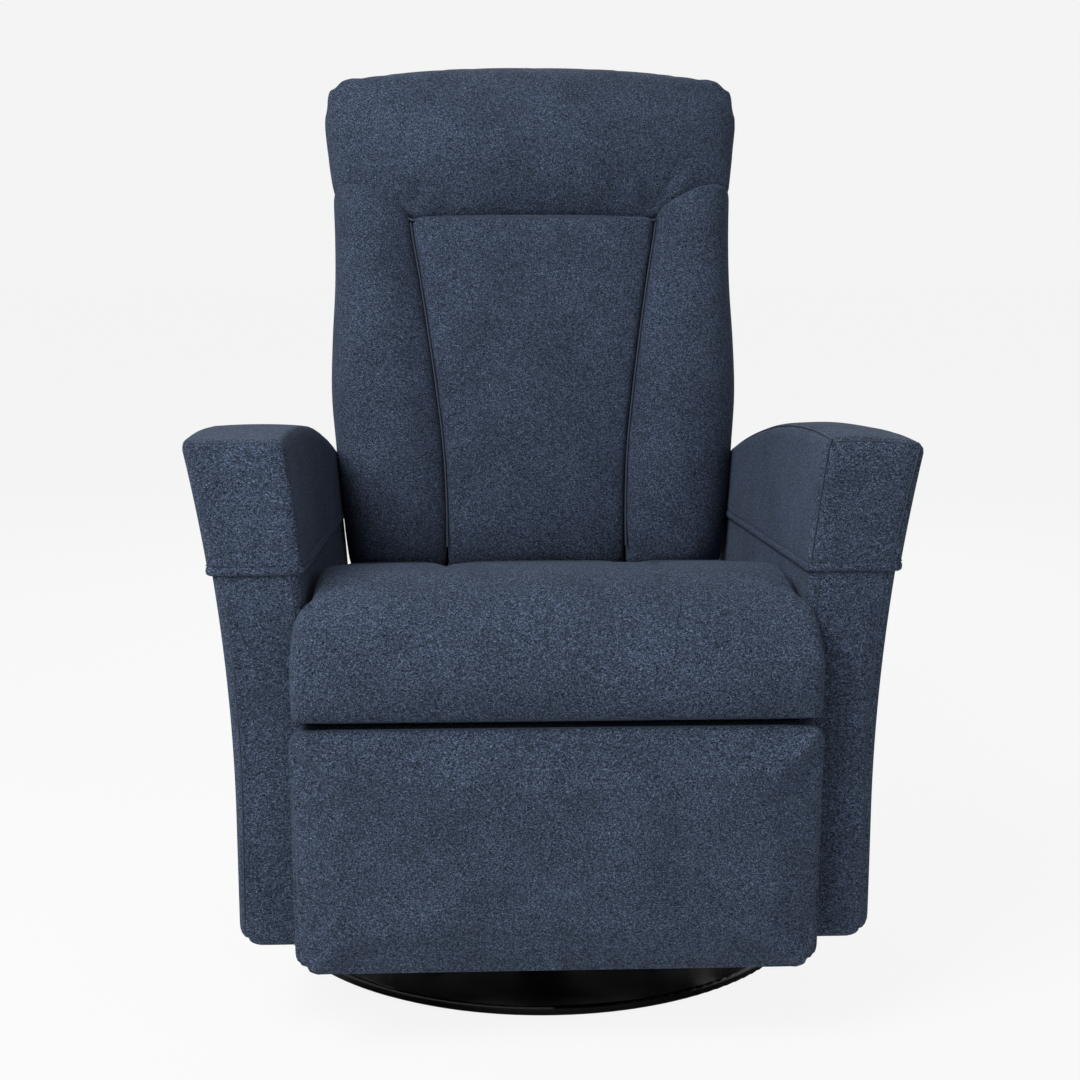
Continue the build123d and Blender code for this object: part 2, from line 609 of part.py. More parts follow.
save_pair(arm.part, "arm")

with BuildPart() as cap:
    add(arm_blank(CAP_THICKNESS, ARM_FRONT - CAP_THICKNESS, ARM_REAR + CAP_THICKNESS))
    with BuildSketch(Plane.YZ.offset(ARM_INNER / 2)):
        with BuildLine():
            Polyline(
                (ARM_FRONT - CAP_THICKNESS, CAP_BOTTOM),
                (ARM_FRONT - CAP_THICKNESS, 0),
                (ARM_REAR + CAP_THICKNESS, 0),
                (ARM_REAR + CAP_THICKNESS, CAP_REAR_BOTTOM),
                close=True,
            )
        make_face()
    extrude(amount=2 * ARM_OUTER, mode=Mode.SUBTRACT)
    fillet(cap.edges().filter_by(lambda edge: edge.center().Z > CAP_BOTTOM + CAP_THICKNESS), ARM_EDGE)
    add(arm_blank(FIT_GAP, ARM_FRONT - FIT_GAP, ARM_REAR + FIT_GAP), mode=Mode.SUBTRACT)
save_pair(cap.part, "arm_cap")

with BuildPart() as rear_panel:
    with BuildSketch(Plane.XY.offset(ARM_BOTTOM)):
        with Locations((0, RAIL_REAR + REAR_PANEL_THICKNESS / 2)):
            Rectangle(2 * REAR_PANEL_HALF, REAR_PANEL_THICKNESS)
    extrude(amount=REAR_PANEL_TOP - ARM_BOTTOM)
    fillet(rear_panel.edges().filter_by(Axis.X).sort_by(Axis.Y)[-2:], REAR_PANEL_THICKNESS / 4)
save(rear_panel.part, "rear_panel")

# Strut that holds the back where it is put
STRUT_FRONT = -CROSS_SPREAD / 2 + TUBE_SIZE / 2 - FREE_GAP
with BuildPart() as strut_mount:
    with BuildSketch(Plane.XZ.offset(-STRUT_FRONT)):
        with Locations((0, (RAIL_TOP + STRUT_Z + STRUT_RADIUS) / 2)):
            Rectangle(STRUT_MOUNT_WIDTH, STRUT_Z + STRUT_RADIUS - RAIL_TOP)
    extrude(amount=STRUT_MOUNT_THICKNESS)
save(strut_mount.part, "strut_mount")

with BuildPart() as strut_cylinder:
    with BuildSketch(Plane.XZ.offset(-STRUT_FRONT)):
        with Locations((0, STRUT_Z)):
            Circle(STRUT_RADIUS)
    extrude(amount=-STRUT_LENGTH)
    with BuildSketch(Plane.XZ.offset(-STRUT_FRONT - STRUT_RADIUS)):
        with Locations((0, STRUT_Z)):
            Circle(STRUT_ROD_RADIUS + RUN_GAP)
    extrude(amount=-STRUT_LENGTH, mode=Mode.SUBTRACT)
save(strut_cylinder.part, "strut_cylinder")

PIN_REACH = STRUT_EYE_WIDTH / 2 + 3 * FREE_GAP + LEVER_THICKNESS
with BuildPart() as strut_rod:
    with BuildSketch(Plane.XZ.offset(-STRUT_PIN_Y)):
        with Locations((0, STRUT_Z)):
            Circle(STRUT_ROD_RADIUS)
    extrude(amount=STRUT_ROD_LENGTH)
    with BuildSketch(Plane.YZ.offset(-STRUT_EYE_WIDTH / 2)):
        with Locations((STRUT_PIN_Y, STRUT_Z)):
            Circle(STRUT_EYE_RADIUS)
    extrude(amount=STRUT_EYE_WIDTH)
    with BuildSketch(Plane.YZ.offset(-PIN_REACH)):
        with Locations((STRUT_PIN_Y, STRUT_Z)):
            Circle(STRUT_ROD_RADIUS)
    extrude(amount=2 * PIN_REACH)
save(strut_rod.part, "strut_rod")

LOWER_CROSS_Y, LOWER_CROSS_Z = back_point(LOWER_CROSS_AT, UPRIGHT_DEPTH)
SLOT_NEAR = STRUT_DROP
SLOT_FAR = STRUT_DROP / cos(radians(RECLINE_RANGE / 2))
SLOT_MIDDLE = (SLOT_NEAR + SLOT_FAR) / 2
SLOT_Y = RECLINE_Y + SLOT_MIDDLE * sin(radians(RECLINE_RANGE / 2))
SLOT_Z = RECLINE_Z - SLOT_MIDDLE * cos(radians(RECLINE_RANGE / 2))
with BuildPart() as strut_lever:
    for lever_x in (-PIN_REACH + FREE_GAP, PIN_REACH - FREE_GAP - LEVER_THICKNESS):
        with BuildSketch(Plane.YZ.offset(lever_x)):
            with Locations((LOWER_CROSS_Y, LOWER_CROSS_Z)):
                Circle(UPRIGHT_RADIUS + LEVER_COLLAR)
            with Locations((SLOT_Y, SLOT_Z)):
                Circle(STRUT_ROD_RADIUS + LEVER_RIM)
            make_hull()
            with Locations((LOWER_CROSS_Y, LOWER_CROSS_Z)):
                Circle(UPRIGHT_RADIUS + FIT_GAP, mode=Mode.SUBTRACT)
            with Locations((SLOT_Y, SLOT_Z)):
                SlotCenterToCenter(
                    SLOT_FAR - SLOT_NEAR + 2 * FREE_GAP,
                    2 * (STRUT_ROD_RADIUS + FREE_GAP),
                    rotation=RECLINE_RANGE / 2 - 90,
                    mode=Mode.SUBTRACT,
                )
        extrude(amount=LEVER_THICKNESS)
save(strut_lever.part, "strut_lever")

# Back frame
with BuildPart() as upright:
    with BuildSketch(back_plane(UPRIGHT_START)):
        with Locations((UPRIGHT_X, UPRIGHT_DEPTH)):
            Circle(UPRIGHT_RADIUS)
            Circle(UPRIGHT_RADIUS - UPRIGHT_WALL, mode=Mode.SUBTRACT)
    extrude(amount=UPRIGHT_END - UPRIGHT_START)
save_pair(upright.part, "back_upright")

for cross_name, cross_at in (("lower", LOWER_CROSS_AT), ("upper", UPPER_CROSS_AT)):
    with BuildPart() as back_cross:
        with BuildSketch(Plane.YZ.offset(-UPRIGHT_X + UPRIGHT_RADIUS)):
            with Locations(back_point(cross_at, UPRIGHT_DEPTH)):
                Circle(UPRIGHT_RADIUS)
                Circle(UPRIGHT_RADIUS - UPRIGHT_WALL, mode=Mode.SUBTRACT)
        extrude(amount=2 * (UPRIGHT_X - UPRIGHT_RADIUS))
    save(back_cross.part, f"back_cross_{cross_name}")

with BuildPart() as recline_bracket:
    with BuildSketch(Plane.YZ.offset(BRACKET_X)):
        with Locations(back_point(UPRIGHT_START + UPRIGHT_RADIUS, UPRIGHT_DEPTH)):
            Circle(UPRIGHT_RADIUS)
        with Locations(back_point(BRACKET_RISE, UPRIGHT_DEPTH)):
            Circle(UPRIGHT_RADIUS)
        make_hull()
    extrude(amount=BRACKET_THICKNESS)
    with BuildSketch(Plane.YZ.offset(BRACKET_X)):
        with Locations((RECLINE_Y, RECLINE_Z)):
            Circle(RECLINE_EYE)
        with Locations(back_point(UPRIGHT_START + UPRIGHT_RADIUS, UPRIGHT_DEPTH)):
            Circle(UPRIGHT_RADIUS)
        make_hull()
    extrude(amount=BRACKET_THICKNESS)
    with BuildSketch(Plane.YZ.offset(BRACKET_X)):
        with Locations((RECLINE_Y, RECLINE_Z)):
            Circle(RECLINE_PIN_RADIUS + RUN_GAP)
    extrude(amount=BRACKET_THICKNESS, mode=Mode.SUBTRACT)
save_pair(recline_bracket.part, "recline_bracket")

BACK_SPRING_HALF = UPRIGHT_X - UPRIGHT_RADIUS - RUN_GAP
BACK_SPRING_TURNS = int(2 * BACK_SPRING_HALF / SPRING_PITCH)
BACK_SPRING_PITCH = 2 * BACK_SPRING_HALF / (BACK_SPRING_TURNS + 1)
with BuildPart() as back_springs:
    for wire in range(BACK_SPRINGS):
        wire_at = BACK_SPRING_START + wire * BACK_SPRING_SPACING
        bends = []
        for turn in range(BACK_SPRING_TURNS + 1):
            side = 1 if turn % 2 == 0 else -1
            for end in (turn, turn + 1):
                bend_y, bend_z = back_point(wire_at + side * BACK_SPRING_SWING, UPRIGHT_DEPTH)
                bends.append((-BACK_SPRING_HALF + end * BACK_SPRING_PITCH, bend_y, bend_z))
        with BuildLine() as path:
            FilletPolyline(*bends, radius=SPRING_BEND)
        with BuildSketch(Plane(origin=path.line @ 0, z_dir=path.line % 0)):
            Circle(SPRING_WIRE)
        sweep(path=path.line)
save(back_springs.part, "back_springs")

# Back cushions: height along the back, half-width of the centre seam, half-width of the back
BACK_STATIONS = (
    (4.0, 118.0, 249.0),
    (78.0, 118.5, 251.0),
    (152.0, 122.5, 260.0),
    (226.0, 131.0, 270.0),
    (300.0, 141.0, 270.0),
    (374.0, 152.0, 267.0),
    (BACK_CUSHION_END, 164.0, 268.0),
)
with BuildPart() as centre_panel:
    for along, seam, half in BACK_STATIONS:
        inner = seam - FREE_GAP / 2
        with BuildSketch(back_plane(along)):
            with BuildLine():
                Polyline((-inner, -PANEL_SEAM_DEPTH), (-inner, 0), (inner, 0), (inner, -PANEL_SEAM_DEPTH))
                ThreePointArc(
                    (inner, -PANEL_SEAM_DEPTH),
                    (0, -PANEL_SEAM_DEPTH - PANEL_CROWN),
                    (-inner, -PANEL_SEAM_DEPTH),
                )
            make_face()
    loft()
save(centre_panel.part, "back_centre_panel")

with BuildPart() as bolster:
    for along, seam, half in BACK_STATIONS:
        inner = seam + FREE_GAP / 2
        with BuildSketch(back_plane(along)):
            with BuildLine():
                Polyline(
                    (inner, -PANEL_SEAM_DEPTH),
                    (inner, 0),
                    (BOLSTER_WRAP_X, 0),
                    (BOLSTER_WRAP_X, HEAD_REAR_DEPTH),
                    (half, HEAD_REAR_DEPTH),
                    (half, -BOLSTER_EDGE_DEPTH),
                )
                ThreePointArc(
                    (half, -BOLSTER_EDGE_DEPTH),
                    ((inner + half) / 2 + BOLSTER_RISE, -PANEL_SEAM_DEPTH - BOLSTER_RISE),
                    (inner, -PANEL_SEAM_DEPTH),
                )
            make_face()
    loft()
save_pair(bolster.part, "back_bolster")

# Head cushion: height along the back, half-width, front crown, depth of its side edge, rear depth
HEAD_STATIONS = (
    (BACK_CUSHION_END + SEWN_GAP, 268.5, 100.0, 46.0, HEAD_REAR_DEPTH),
    (490.0, 271.0, 112.0, 50.0, HEAD_REAR_DEPTH),
    (560.0, 277.0, 106.0, 46.0, HEAD_REAR_DEPTH),
    (615.0, 283.0, 92.0, 36.0, HEAD_REAR_DEPTH),
    (652.0, 271.0, 72.0, 22.0, 0.7 * HEAD_REAR_DEPTH),
    (674.0, 222.0, 46.0, 8.0, 0.2 * HEAD_REAR_DEPTH),
)
with BuildPart() as head:
    for along, half, crown, side_depth, rear_depth in HEAD_STATIONS:
        with BuildSketch(back_plane(along)):
            with BuildLine():
                Polyline((-half, -side_depth), (-half, rear_depth), (half, rear_depth), (half, -side_depth))
                ThreePointArc((half, -side_depth), (0, -crown), (-half, -side_depth))
            make_face()
    loft()
    with BuildSketch(back_plane(BACK_CUSHION_END)):
        with Locations((0, HEAD_REAR_DEPTH + SHELL_FRONT_DEPTH)):
            Rectangle(3 * REAR_PANEL_HALF, 2 * SHELL_FRONT_DEPTH)
    extrude(amount=BACK_CUSHION_END, mode=Mode.SUBTRACT)
save(head.part, "head_cushion")

# Rear cover: height along the back and half-width
SHELL_STATIONS = ((-20.0, 236.0), (200.0, 250.0), (440.0, 260.0), (600.0, 271.0), (645.0, 254.0))
with BuildPart() as shell:
    for along, half in SHELL_STATIONS:
        rear = SHELL_FRONT_DEPTH + SHELL_THICKNESS
        with BuildSketch(back_plane(along)):
            with BuildLine():
                Polyline((half, rear), (half, SHELL_FRONT_DEPTH), (-half, SHELL_FRONT_DEPTH), (-half, rear))
                ThreePointArc((-half, rear), (0, rear + SHELL_CROWN), (half, rear))
            make_face()
    loft()
save(shell.part, "back_shell")

# Footrest linkage
with BuildPart() as upper_link:
    with BuildSketch(Plane.YZ.offset(UPPER_LINK_X)):
        with Locations((LEG_Y, LEG_Z), (KNEE_Y, KNEE_Z)):
            Circle(LINK_HALF_WIDTH)
        make_hull()
        with Locations((LEG_Y, LEG_Z), (KNEE_Y, KNEE_Z)):
            Circle(LINK_PIN_RADIUS + FIT_GAP, mode=Mode.SUBTRACT)
    extrude(amount=LINK_THICKNESS)
save_pair(upper_link.part, "upper_link")

with BuildPart() as link_pins:
    with BuildSketch(Plane.YZ.offset(UPPER_LINK_X)):
        with Locations((LEG_Y, LEG_Z)):
            Circle(LINK_PIN_RADIUS)
    extrude(amount=SIDE_PLATE_OUTER + FREE_GAP - UPPER_LINK_X)
    with BuildSketch(Plane.YZ.offset(SIDE_PLATE_OUTER + FREE_GAP)):
        with Locations((LEG_Y, LEG_Z)):
            Circle(LINK_HEAD_RADIUS)
    extrude(amount=LINK_HEAD_HEIGHT)
    with BuildSketch(Plane.YZ.offset(LOWER_LINK_X - FREE_GAP)):
        with Locations((KNEE_Y, KNEE_Z)):
            Circle(LINK_PIN_RADIUS)
    extrude(amount=UPPER_LINK_X + LINK_THICKNESS - LOWER_LINK_X + FREE_GAP)
    with BuildSketch(Plane.YZ.offset(LOWER_LINK_X - FREE_GAP - LINK_HEAD_HEIGHT)):
        with Locations((KNEE_Y, KNEE_Z)):
            Circle(LINK_HEAD_RADIUS)
    extrude(amount=LINK_HEAD_HEIGHT)
    mirror(about=Plane.YZ)
save(link_pins.part, "link_pins")

with BuildPart() as lower_link:
    with BuildSketch(Plane.YZ.offset(LOWER_LINK_X)):
        with Locations((KNEE_Y, KNEE_Z), (FOOT_PIVOT_Y, FOOT_PIVOT_Z)):
            Circle(LINK_HALF_WIDTH)
        make_hull()
        with Locations((KNEE_Y, KNEE_Z), (FOOT_PIVOT_Y, FOOT_PIVOT_Z)):
            Circle(LINK_PIN_RADIUS + RUN_GAP, mode=Mode.SUBTRACT)
    extrude(amount=LINK_THICKNESS)
save_pair(lower_link.part, "lower_link")

with BuildPart() as leg_tube:
    with BuildSketch(Plane.YZ.offset(-LOWER_LINK_X)):
        with Locations(((KNEE_Y + FOOT_PIVOT_Y) / 2, (KNEE_Z + FOOT_PIVOT_Z) / 2)):
            Circle(LEG_TUBE_RADIUS)
            Circle(LEG_TUBE_RADIUS - TUBE_WALL, mode=Mode.SUBTRACT)
    extrude(amount=2 * LOWER_LINK_X)
save(leg_tube.part, "leg_cross_tube")

# Footrest panel
with BuildPart() as foot_bracket:
    with BuildSketch(Plane.YZ.offset(FOOT_BRACKET_X)):
        with Locations((FOOT_PIVOT_Y, FOOT_PIVOT_Z)):
            Circle(LINK_HALF_WIDTH)
        with Locations((FOOT_BACK + LINK_THICKNESS / 2, FOOT_PIVOT_Z)):
            Rectangle(LINK_THICKNESS, FOOT_BRACKET_HEIGHT)
        make_hull()
    extrude(amount=LINK_THICKNESS)
    with BuildSketch(Plane.YZ.offset(FOOT_BRACKET_X - FOOT_BRACKET_WIDTH)):
        with Locations((FOOT_BACK + LINK_THICKNESS / 2, FOOT_PIVOT_Z)):
            Rectangle(LINK_THICKNESS, FOOT_BRACKET_HEIGHT)
    extrude(amount=FOOT_BRACKET_WIDTH)
    with BuildSketch(Plane.YZ.offset(FOOT_BRACKET_X)):
        with Locations((FOOT_PIVOT_Y, FOOT_PIVOT_Z)):
            Circle(LINK_PIN_RADIUS)
    extrude(amount=LOWER_LINK_X + LINK_THICKNESS - FOOT_BRACKET_X)
save_pair(foot_bracket.part, "footrest_bracket")


def tapered_panel(inset):
    """Corner points of the footrest box in the front view, moved inwards."""
    top = (FOOT_BOX_TOP_HALF - inset, FOOT_BOX_TOP - inset)
    bottom = (FOOT_BOX_BOTTOM_HALF - inset, FOOT_BOX_BOTTOM + inset)
    return (top, bottom, (-bottom[0], bottom[1]), (-top[0], top[1]))


with BuildPart() as foot_board:
    with BuildSketch(Plane.XZ.offset(-FOOT_BACK)):
        with BuildLine():
            Polyline(*tapered_panel(FOOT_BOARD_INSET), close=True)
        make_face()
    extrude(amount=FOOT_BOARD_THICKNESS)
save(foot_board.part, "footrest_board")

with BuildPart() as foot_box:
    with BuildSketch(Plane.XZ.offset(-FOOT_BACK)):
        with BuildLine():
            Polyline(*tapered_panel(0), close=True)
        make_face()
    extrude(amount=FOOT_BOX_DEPTH)
    fillet(foot_box.edges().filter_by(Axis.Y), FOOT_BOX_CORNER)
    with BuildSketch(Plane.XZ.offset(-FOOT_BACK)):
        with BuildLine():
            Polyline(*tapered_panel(FOOT_BOARD_INSET - FIT_GAP), close=True)
        make_face()
    extrude(amount=FOOT_BOARD_THICKNESS + FIT_GAP, mode=Mode.SUBTRACT)
save(foot_box.part, "footrest_box")

# Footrest pad: height share, inset of its edge, share of its depth
PAD_STATIONS = ((0.0, 14.0, 0.4), (0.07, 2.0, 0.8), (0.5, 0.0, 1.0), (0.93, 2.0, 0.8), (1.0, 14.0, 0.4))
PAD_BACK = FOOT_BACK - FOOT_BOX_DEPTH
with BuildPart() as foot_pad:
    for share, inset, depth_share in PAD_STATIONS:
        height = FOOT_PAD_BOTTOM + share * (FOOT_PAD_TOP - FOOT_PAD_BOTTOM)
        half = FOOT_PAD_BOTTOM_HALF + share * (FOOT_PAD_TOP_HALF - FOOT_PAD_BOTTOM_HALF) - inset
        front = PAD_BACK - depth_share * (FOOT_PAD_DEPTH - FOOT_PAD_CROWN)
        crown = PAD_BACK - depth_share * FOOT_PAD_DEPTH
        shoulder = half - 2 * FOOT_PAD_CROWN
        with BuildSketch(Plane.XY.offset(height)):
            with BuildLine():
                Line((-half, PAD_BACK), (half, PAD_BACK))
                Line((half, PAD_BACK), (shoulder, front))
                ThreePointArc((shoulder, front), (0, crown), (-shoulder, front))
                Line((-shoulder, front), (-half, PAD_BACK))
            make_face()
    loft()
save(foot_pad.part, "footrest_pad")
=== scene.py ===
"""An upholstered swivel recliner on a black disc base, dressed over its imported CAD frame.

Metres throughout. The sitter faces -Y, +X is the sitter's left and +Z is up.
"""
import json
import logging
import math
from dataclasses import dataclass
from enum import Enum
from typing import Callable, Sequence

import bmesh
import bpy
from mathutils import Matrix, Vector
from mathutils.bvhtree import BVHTree
from mathutils.kdtree import KDTree


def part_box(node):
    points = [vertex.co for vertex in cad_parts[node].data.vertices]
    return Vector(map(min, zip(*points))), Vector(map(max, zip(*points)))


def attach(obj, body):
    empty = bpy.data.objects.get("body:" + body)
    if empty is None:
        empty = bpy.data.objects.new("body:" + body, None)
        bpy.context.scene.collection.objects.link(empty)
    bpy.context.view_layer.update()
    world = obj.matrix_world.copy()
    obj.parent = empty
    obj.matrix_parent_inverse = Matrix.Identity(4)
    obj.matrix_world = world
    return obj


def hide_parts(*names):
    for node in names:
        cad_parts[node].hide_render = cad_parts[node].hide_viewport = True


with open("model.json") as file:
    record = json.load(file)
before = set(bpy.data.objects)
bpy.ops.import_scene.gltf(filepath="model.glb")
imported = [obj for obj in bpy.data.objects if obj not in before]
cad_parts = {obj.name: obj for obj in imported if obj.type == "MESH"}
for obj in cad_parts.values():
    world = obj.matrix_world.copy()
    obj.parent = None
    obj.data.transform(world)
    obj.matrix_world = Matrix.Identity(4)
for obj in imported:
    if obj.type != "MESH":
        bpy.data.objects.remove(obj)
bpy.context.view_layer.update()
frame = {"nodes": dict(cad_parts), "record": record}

log = logging.getLogger("recliner")

# Points on a surface, each with the surface's normal.
Line3 = list[tuple[Vector, Vector]]

# Sewing that is the same all over the chair.
SEAM_RADIUS = 0.0008
WELT_RADIUS = 0.0010
WELT_SINK = 0.0014
STITCH_STEP = 0.0015
STITCH_PITCH = 0.0062
STITCH_LENGTH = 0.0046
STITCH_RADIUS = 0.0007
FORWARD = Vector((0.0, -1.0, 0.0))
UP = Vector((0.0, 0.0, 1.0))


class Side(Enum):
    """The sitter's left and right, as the sign of X."""

    LEFT = 1.0
    RIGHT = -1.0

    @property
    def word(self) -> str:
        """The side's name as it ends a node's name."""
        return self.name.lower()


class Body(Enum):
    """CAD bodies that the dressed pieces ride on."""

    CHASSIS = "chassis"
    BACK = "back"
    FOOTREST = "footrest"


# Finishes


def linear(code: str) -> tuple[float, float, float, float]:
    """Turn an sRGB hex colour into linear light.

    Args:
        code: Six hex digits, with or without a hash.

    Returns:
        Linear red, green, blue and a full alpha.
    """
    digits = code.lstrip("#")
    shares = [int(digits[i : i + 2], 16) / 255 for i in (0, 2, 4)]
    light = [s / 12.92 if s <= 0.04045 else ((s + 0.055) / 1.055) ** 2.4 for s in shares]
    return (light[0], light[1], light[2], 1.0)


def per_mm(size: float) -> float:
    """Texture scale at which one pattern cell is that many millimetres wide."""
    return 1000.0 / size


def add_node(
    tree: bpy.types.NodeTree, kind: str, inputs: dict | None = None, **settings: object
) -> bpy.types.Node:
    """Add one shader node, set it up and link it.

    Args:
        tree: Node tree that takes the node.
        kind: Blender's name of the node type.
        inputs: Socket name or number against a value or another node's output.
        settings: Attributes of the node itself.

    Returns:
        The new node.
    """
    node = tree.nodes.new(kind)
    for key, value in settings.items():
        setattr(node, key, value)
    for socket, value in (inputs or {}).items():
        if isinstance(value, bpy.types.NodeSocket):
            tree.links.new(value, node.inputs[socket])
        else:
            node.inputs[socket].default_value = value
    return node


def new_material(name: str) -> tuple[bpy.types.Material, bpy.types.NodeTree]:
    """Start an empty node material.

    Args:
        name: The finish's name.

    Returns:
        The material and its cleared node tree.
    """
    material = bpy.data.materials.new(name)
    material.use_nodes = True
    material.node_tree.nodes.clear()
    return material, material.node_tree


@dataclass(frozen=True)
class WoolFelt:
    """Brushed wool-blend upholstery felt: matt, heathered from dyed fibres, a faint nap at grazing light."""

    name: str = "brushed_wool_felt"
    dark: str = "0c1119"
    middle: str = "2c3545"
    light: str = "6f7e9a"
    sheen: str = "9fb0cc"
    # Single fibres are too fine to show, so flecks and fibres are drawn one to two millimetres wide.
    fleck_mm: float = 1.9
    fibre_mm: float = 1.15
    mottle_mm: float = 60.0
    stretch: float = 1.3
    roughness: float = 0.95
    nap_height: float = 0.0012

    def material(self) -> bpy.types.Material:
        """Fibre flecks of three tones, longer than tall, over slow cloudy mottling, with a nap bump.

        Returns:
            The finished material.
        """
        material, tree = new_material(self.name)
        place = add_node(tree, "ShaderNodeTexCoord").outputs["Object"]
        lying = add_node(
            tree,
            "ShaderNodeMapping",
            {"Vector": place, "Scale": (1 / self.stretch, 1 / self.stretch, 1.0)},
        )
        fleck = add_node(
            tree,
            "ShaderNodeTexNoise",
            {"Vector": lying.outputs[0], "Scale": per_mm(self.fleck_mm), "Detail": 2.5, "Distortion": 0.6},
        )
        fibre = add_node(
            tree,
            "ShaderNodeTexNoise",
            {"Vector": lying.outputs[0], "Scale": per_mm(self.fibre_mm), "Detail": 1.5, "Distortion": 1.2},
        )
        mottle = add_node(
            tree, "ShaderNodeTexNoise", {"Vector": place, "Scale": per_mm(self.mottle_mm), "Detail": 3.0}
        )
        dyed = add_node(
            tree, "ShaderNodeMapRange", {"Value": fleck.outputs[0], "From Min": 0.36, "From Max": 0.62}
        )
        pale = add_node(
            tree,
            "ShaderNodeMapRange",
            {"Value": fibre.outputs[0], "From Min": 0.50, "From Max": 0.74, "To Max": 0.85},
        )
        worn = add_node(
            tree,
            "ShaderNodeMapRange",
            {"Value": mottle.outputs[0], "From Min": 0.3, "From Max": 0.72, "To Min": 0.86, "To Max": 1.14},
        )
        base = add_node(
            tree,
            "ShaderNodeMix",
            {0: dyed.outputs[0], 6: linear(self.dark), 7: linear(self.middle)},
            data_type="RGBA",
        )
        heather = add_node(
            tree,
            "ShaderNodeMix",
            {0: pale.outputs[0], 6: base.outputs[2], 7: linear(self.light)},
            data_type="RGBA",
        )
        cloudy = add_node(
            tree,
            "ShaderNodeHueSaturation",
            {"Value": worn.outputs[0], "Color": heather.outputs[2]},
        )
        nap = add_node(
            tree, "ShaderNodeMath", {0: fleck.outputs[0], 1: fibre.outputs[0]}, operation="ADD"
        )
        bump = add_node(
            tree, "ShaderNodeBump", {"Strength": 0.5, "Distance": self.nap_height, "Height": nap.outputs[0]}
        )
        shader = add_node(
            tree,
            "ShaderNodeBsdfPrincipled",
            {
                "Base Color": cloudy.outputs[0],
                "Roughness": self.roughness,
                "Specular IOR Level": 0.12,
                "Sheen Weight": 0.06,
                "Sheen Roughness": 0.6,
                "Sheen Tint": linear(self.sheen),
                "Normal": bump.outputs[0],
            },
        )
        add_node(tree, "ShaderNodeOutputMaterial", {"Surface": shader.outputs[0]})
        return material


@dataclass(frozen=True)
class SpunThread:
    """Spun polyester sewing thread and seam welts: the cloth's own blue, darker, with a slight twist."""

    name: str = "spun_polyester_thread"
    dark: str = "1b212c"
    light: str = "333c4c"
    # The real twist is too fine to show, so it is drawn about a millimetre long.
    twist_mm: float = 1.1
    twist_height: float = 0.0003

    def material(self) -> bpy.types.Material:
        """Two close tones in a fine twisted grain.

        Returns:
            The finished material.
        """
        material, tree = new_material(self.name)
        place = add_node(tree, "ShaderNodeTexCoord").outputs["Object"]
        twist = add_node(
            tree, "ShaderNodeTexNoise", {"Vector": place, "Scale": per_mm(self.twist_mm), "Detail": 2.0}
        )
        tone = add_node(
            tree,
            "ShaderNodeMix",
            {0: twist.outputs[0], 6: linear(self.dark), 7: linear(self.light)},
            data_type="RGBA",
        )
        bump = add_node(
            tree,
            "ShaderNodeBump",
            {"Strength": 0.3, "Distance": self.twist_height, "Height": twist.outputs[0]},
        )
        shader = add_node(
            tree,
            "ShaderNodeBsdfPrincipled",
            {
                "Base Color": tone.outputs[2],
                "Roughness": 0.7,
                "Specular IOR Level": 0.3,
                "Normal": bump.outputs[0],
            },
        )
        add_node(tree, "ShaderNodeOutputMaterial", {"Surface": shader.outputs[0]})
        return material


@dataclass(frozen=True)
class CoatedSteel:
    """Baked black coating on steel: a dark body under a skin with slight orange peel and rubbed gloss."""

    name: str
    dark: str
    light: str
    roughness: float
    peel_mm: float
    peel_height: float
    specular: float = 0.5
    cloud_mm: float = 60.0

    def material(self) -> bpy.types.Material:
        """Dark coat whose gloss wanders a little over cloudy patches.

        Returns:
            The finished material.
        """
        material, tree = new_material(self.name)
        place = add_node(tree, "ShaderNodeTexCoord").outputs["Object"]
        cloud = add_node(
            tree, "ShaderNodeTexNoise", {"Vector": place, "Scale": per_mm(self.cloud_mm), "Detail": 5.0}
        )
        peel = add_node(
            tree, "ShaderNodeTexNoise", {"Vector": place, "Scale": per_mm(self.peel_mm), "Detail": 2.0}
        )
        tone = add_node(
            tree,
            "ShaderNodeMix",
            {0: cloud.outputs[0], 6: linear(self.dark), 7: linear(self.light)},
            data_type="RGBA",
        )
        gloss = add_node(
            tree,
            "ShaderNodeMapRange",
            {
                "Value": cloud.outputs[0],
                "From Min": 0.3,
                "From Max": 0.7,
                "To Min": self.roughness - 0.05,
                "To Max": self.roughness + 0.06,
            },
        )
        bump = add_node(
            tree,
            "ShaderNodeBump",
            {"Strength": 0.2, "Distance": self.peel_height, "Height": peel.outputs[0]},
        )
        shader = add_node(
            tree,
            "ShaderNodeBsdfPrincipled",
            {
                "Base Color": tone.outputs[2],
                "Roughness": gloss.outputs[0],
                "Specular IOR Level": self.specular,
                "Normal": bump.outputs[0],
            },
        )
        add_node(tree, "ShaderNodeOutputMaterial", {"Surface": shader.outputs[0]})
        return material


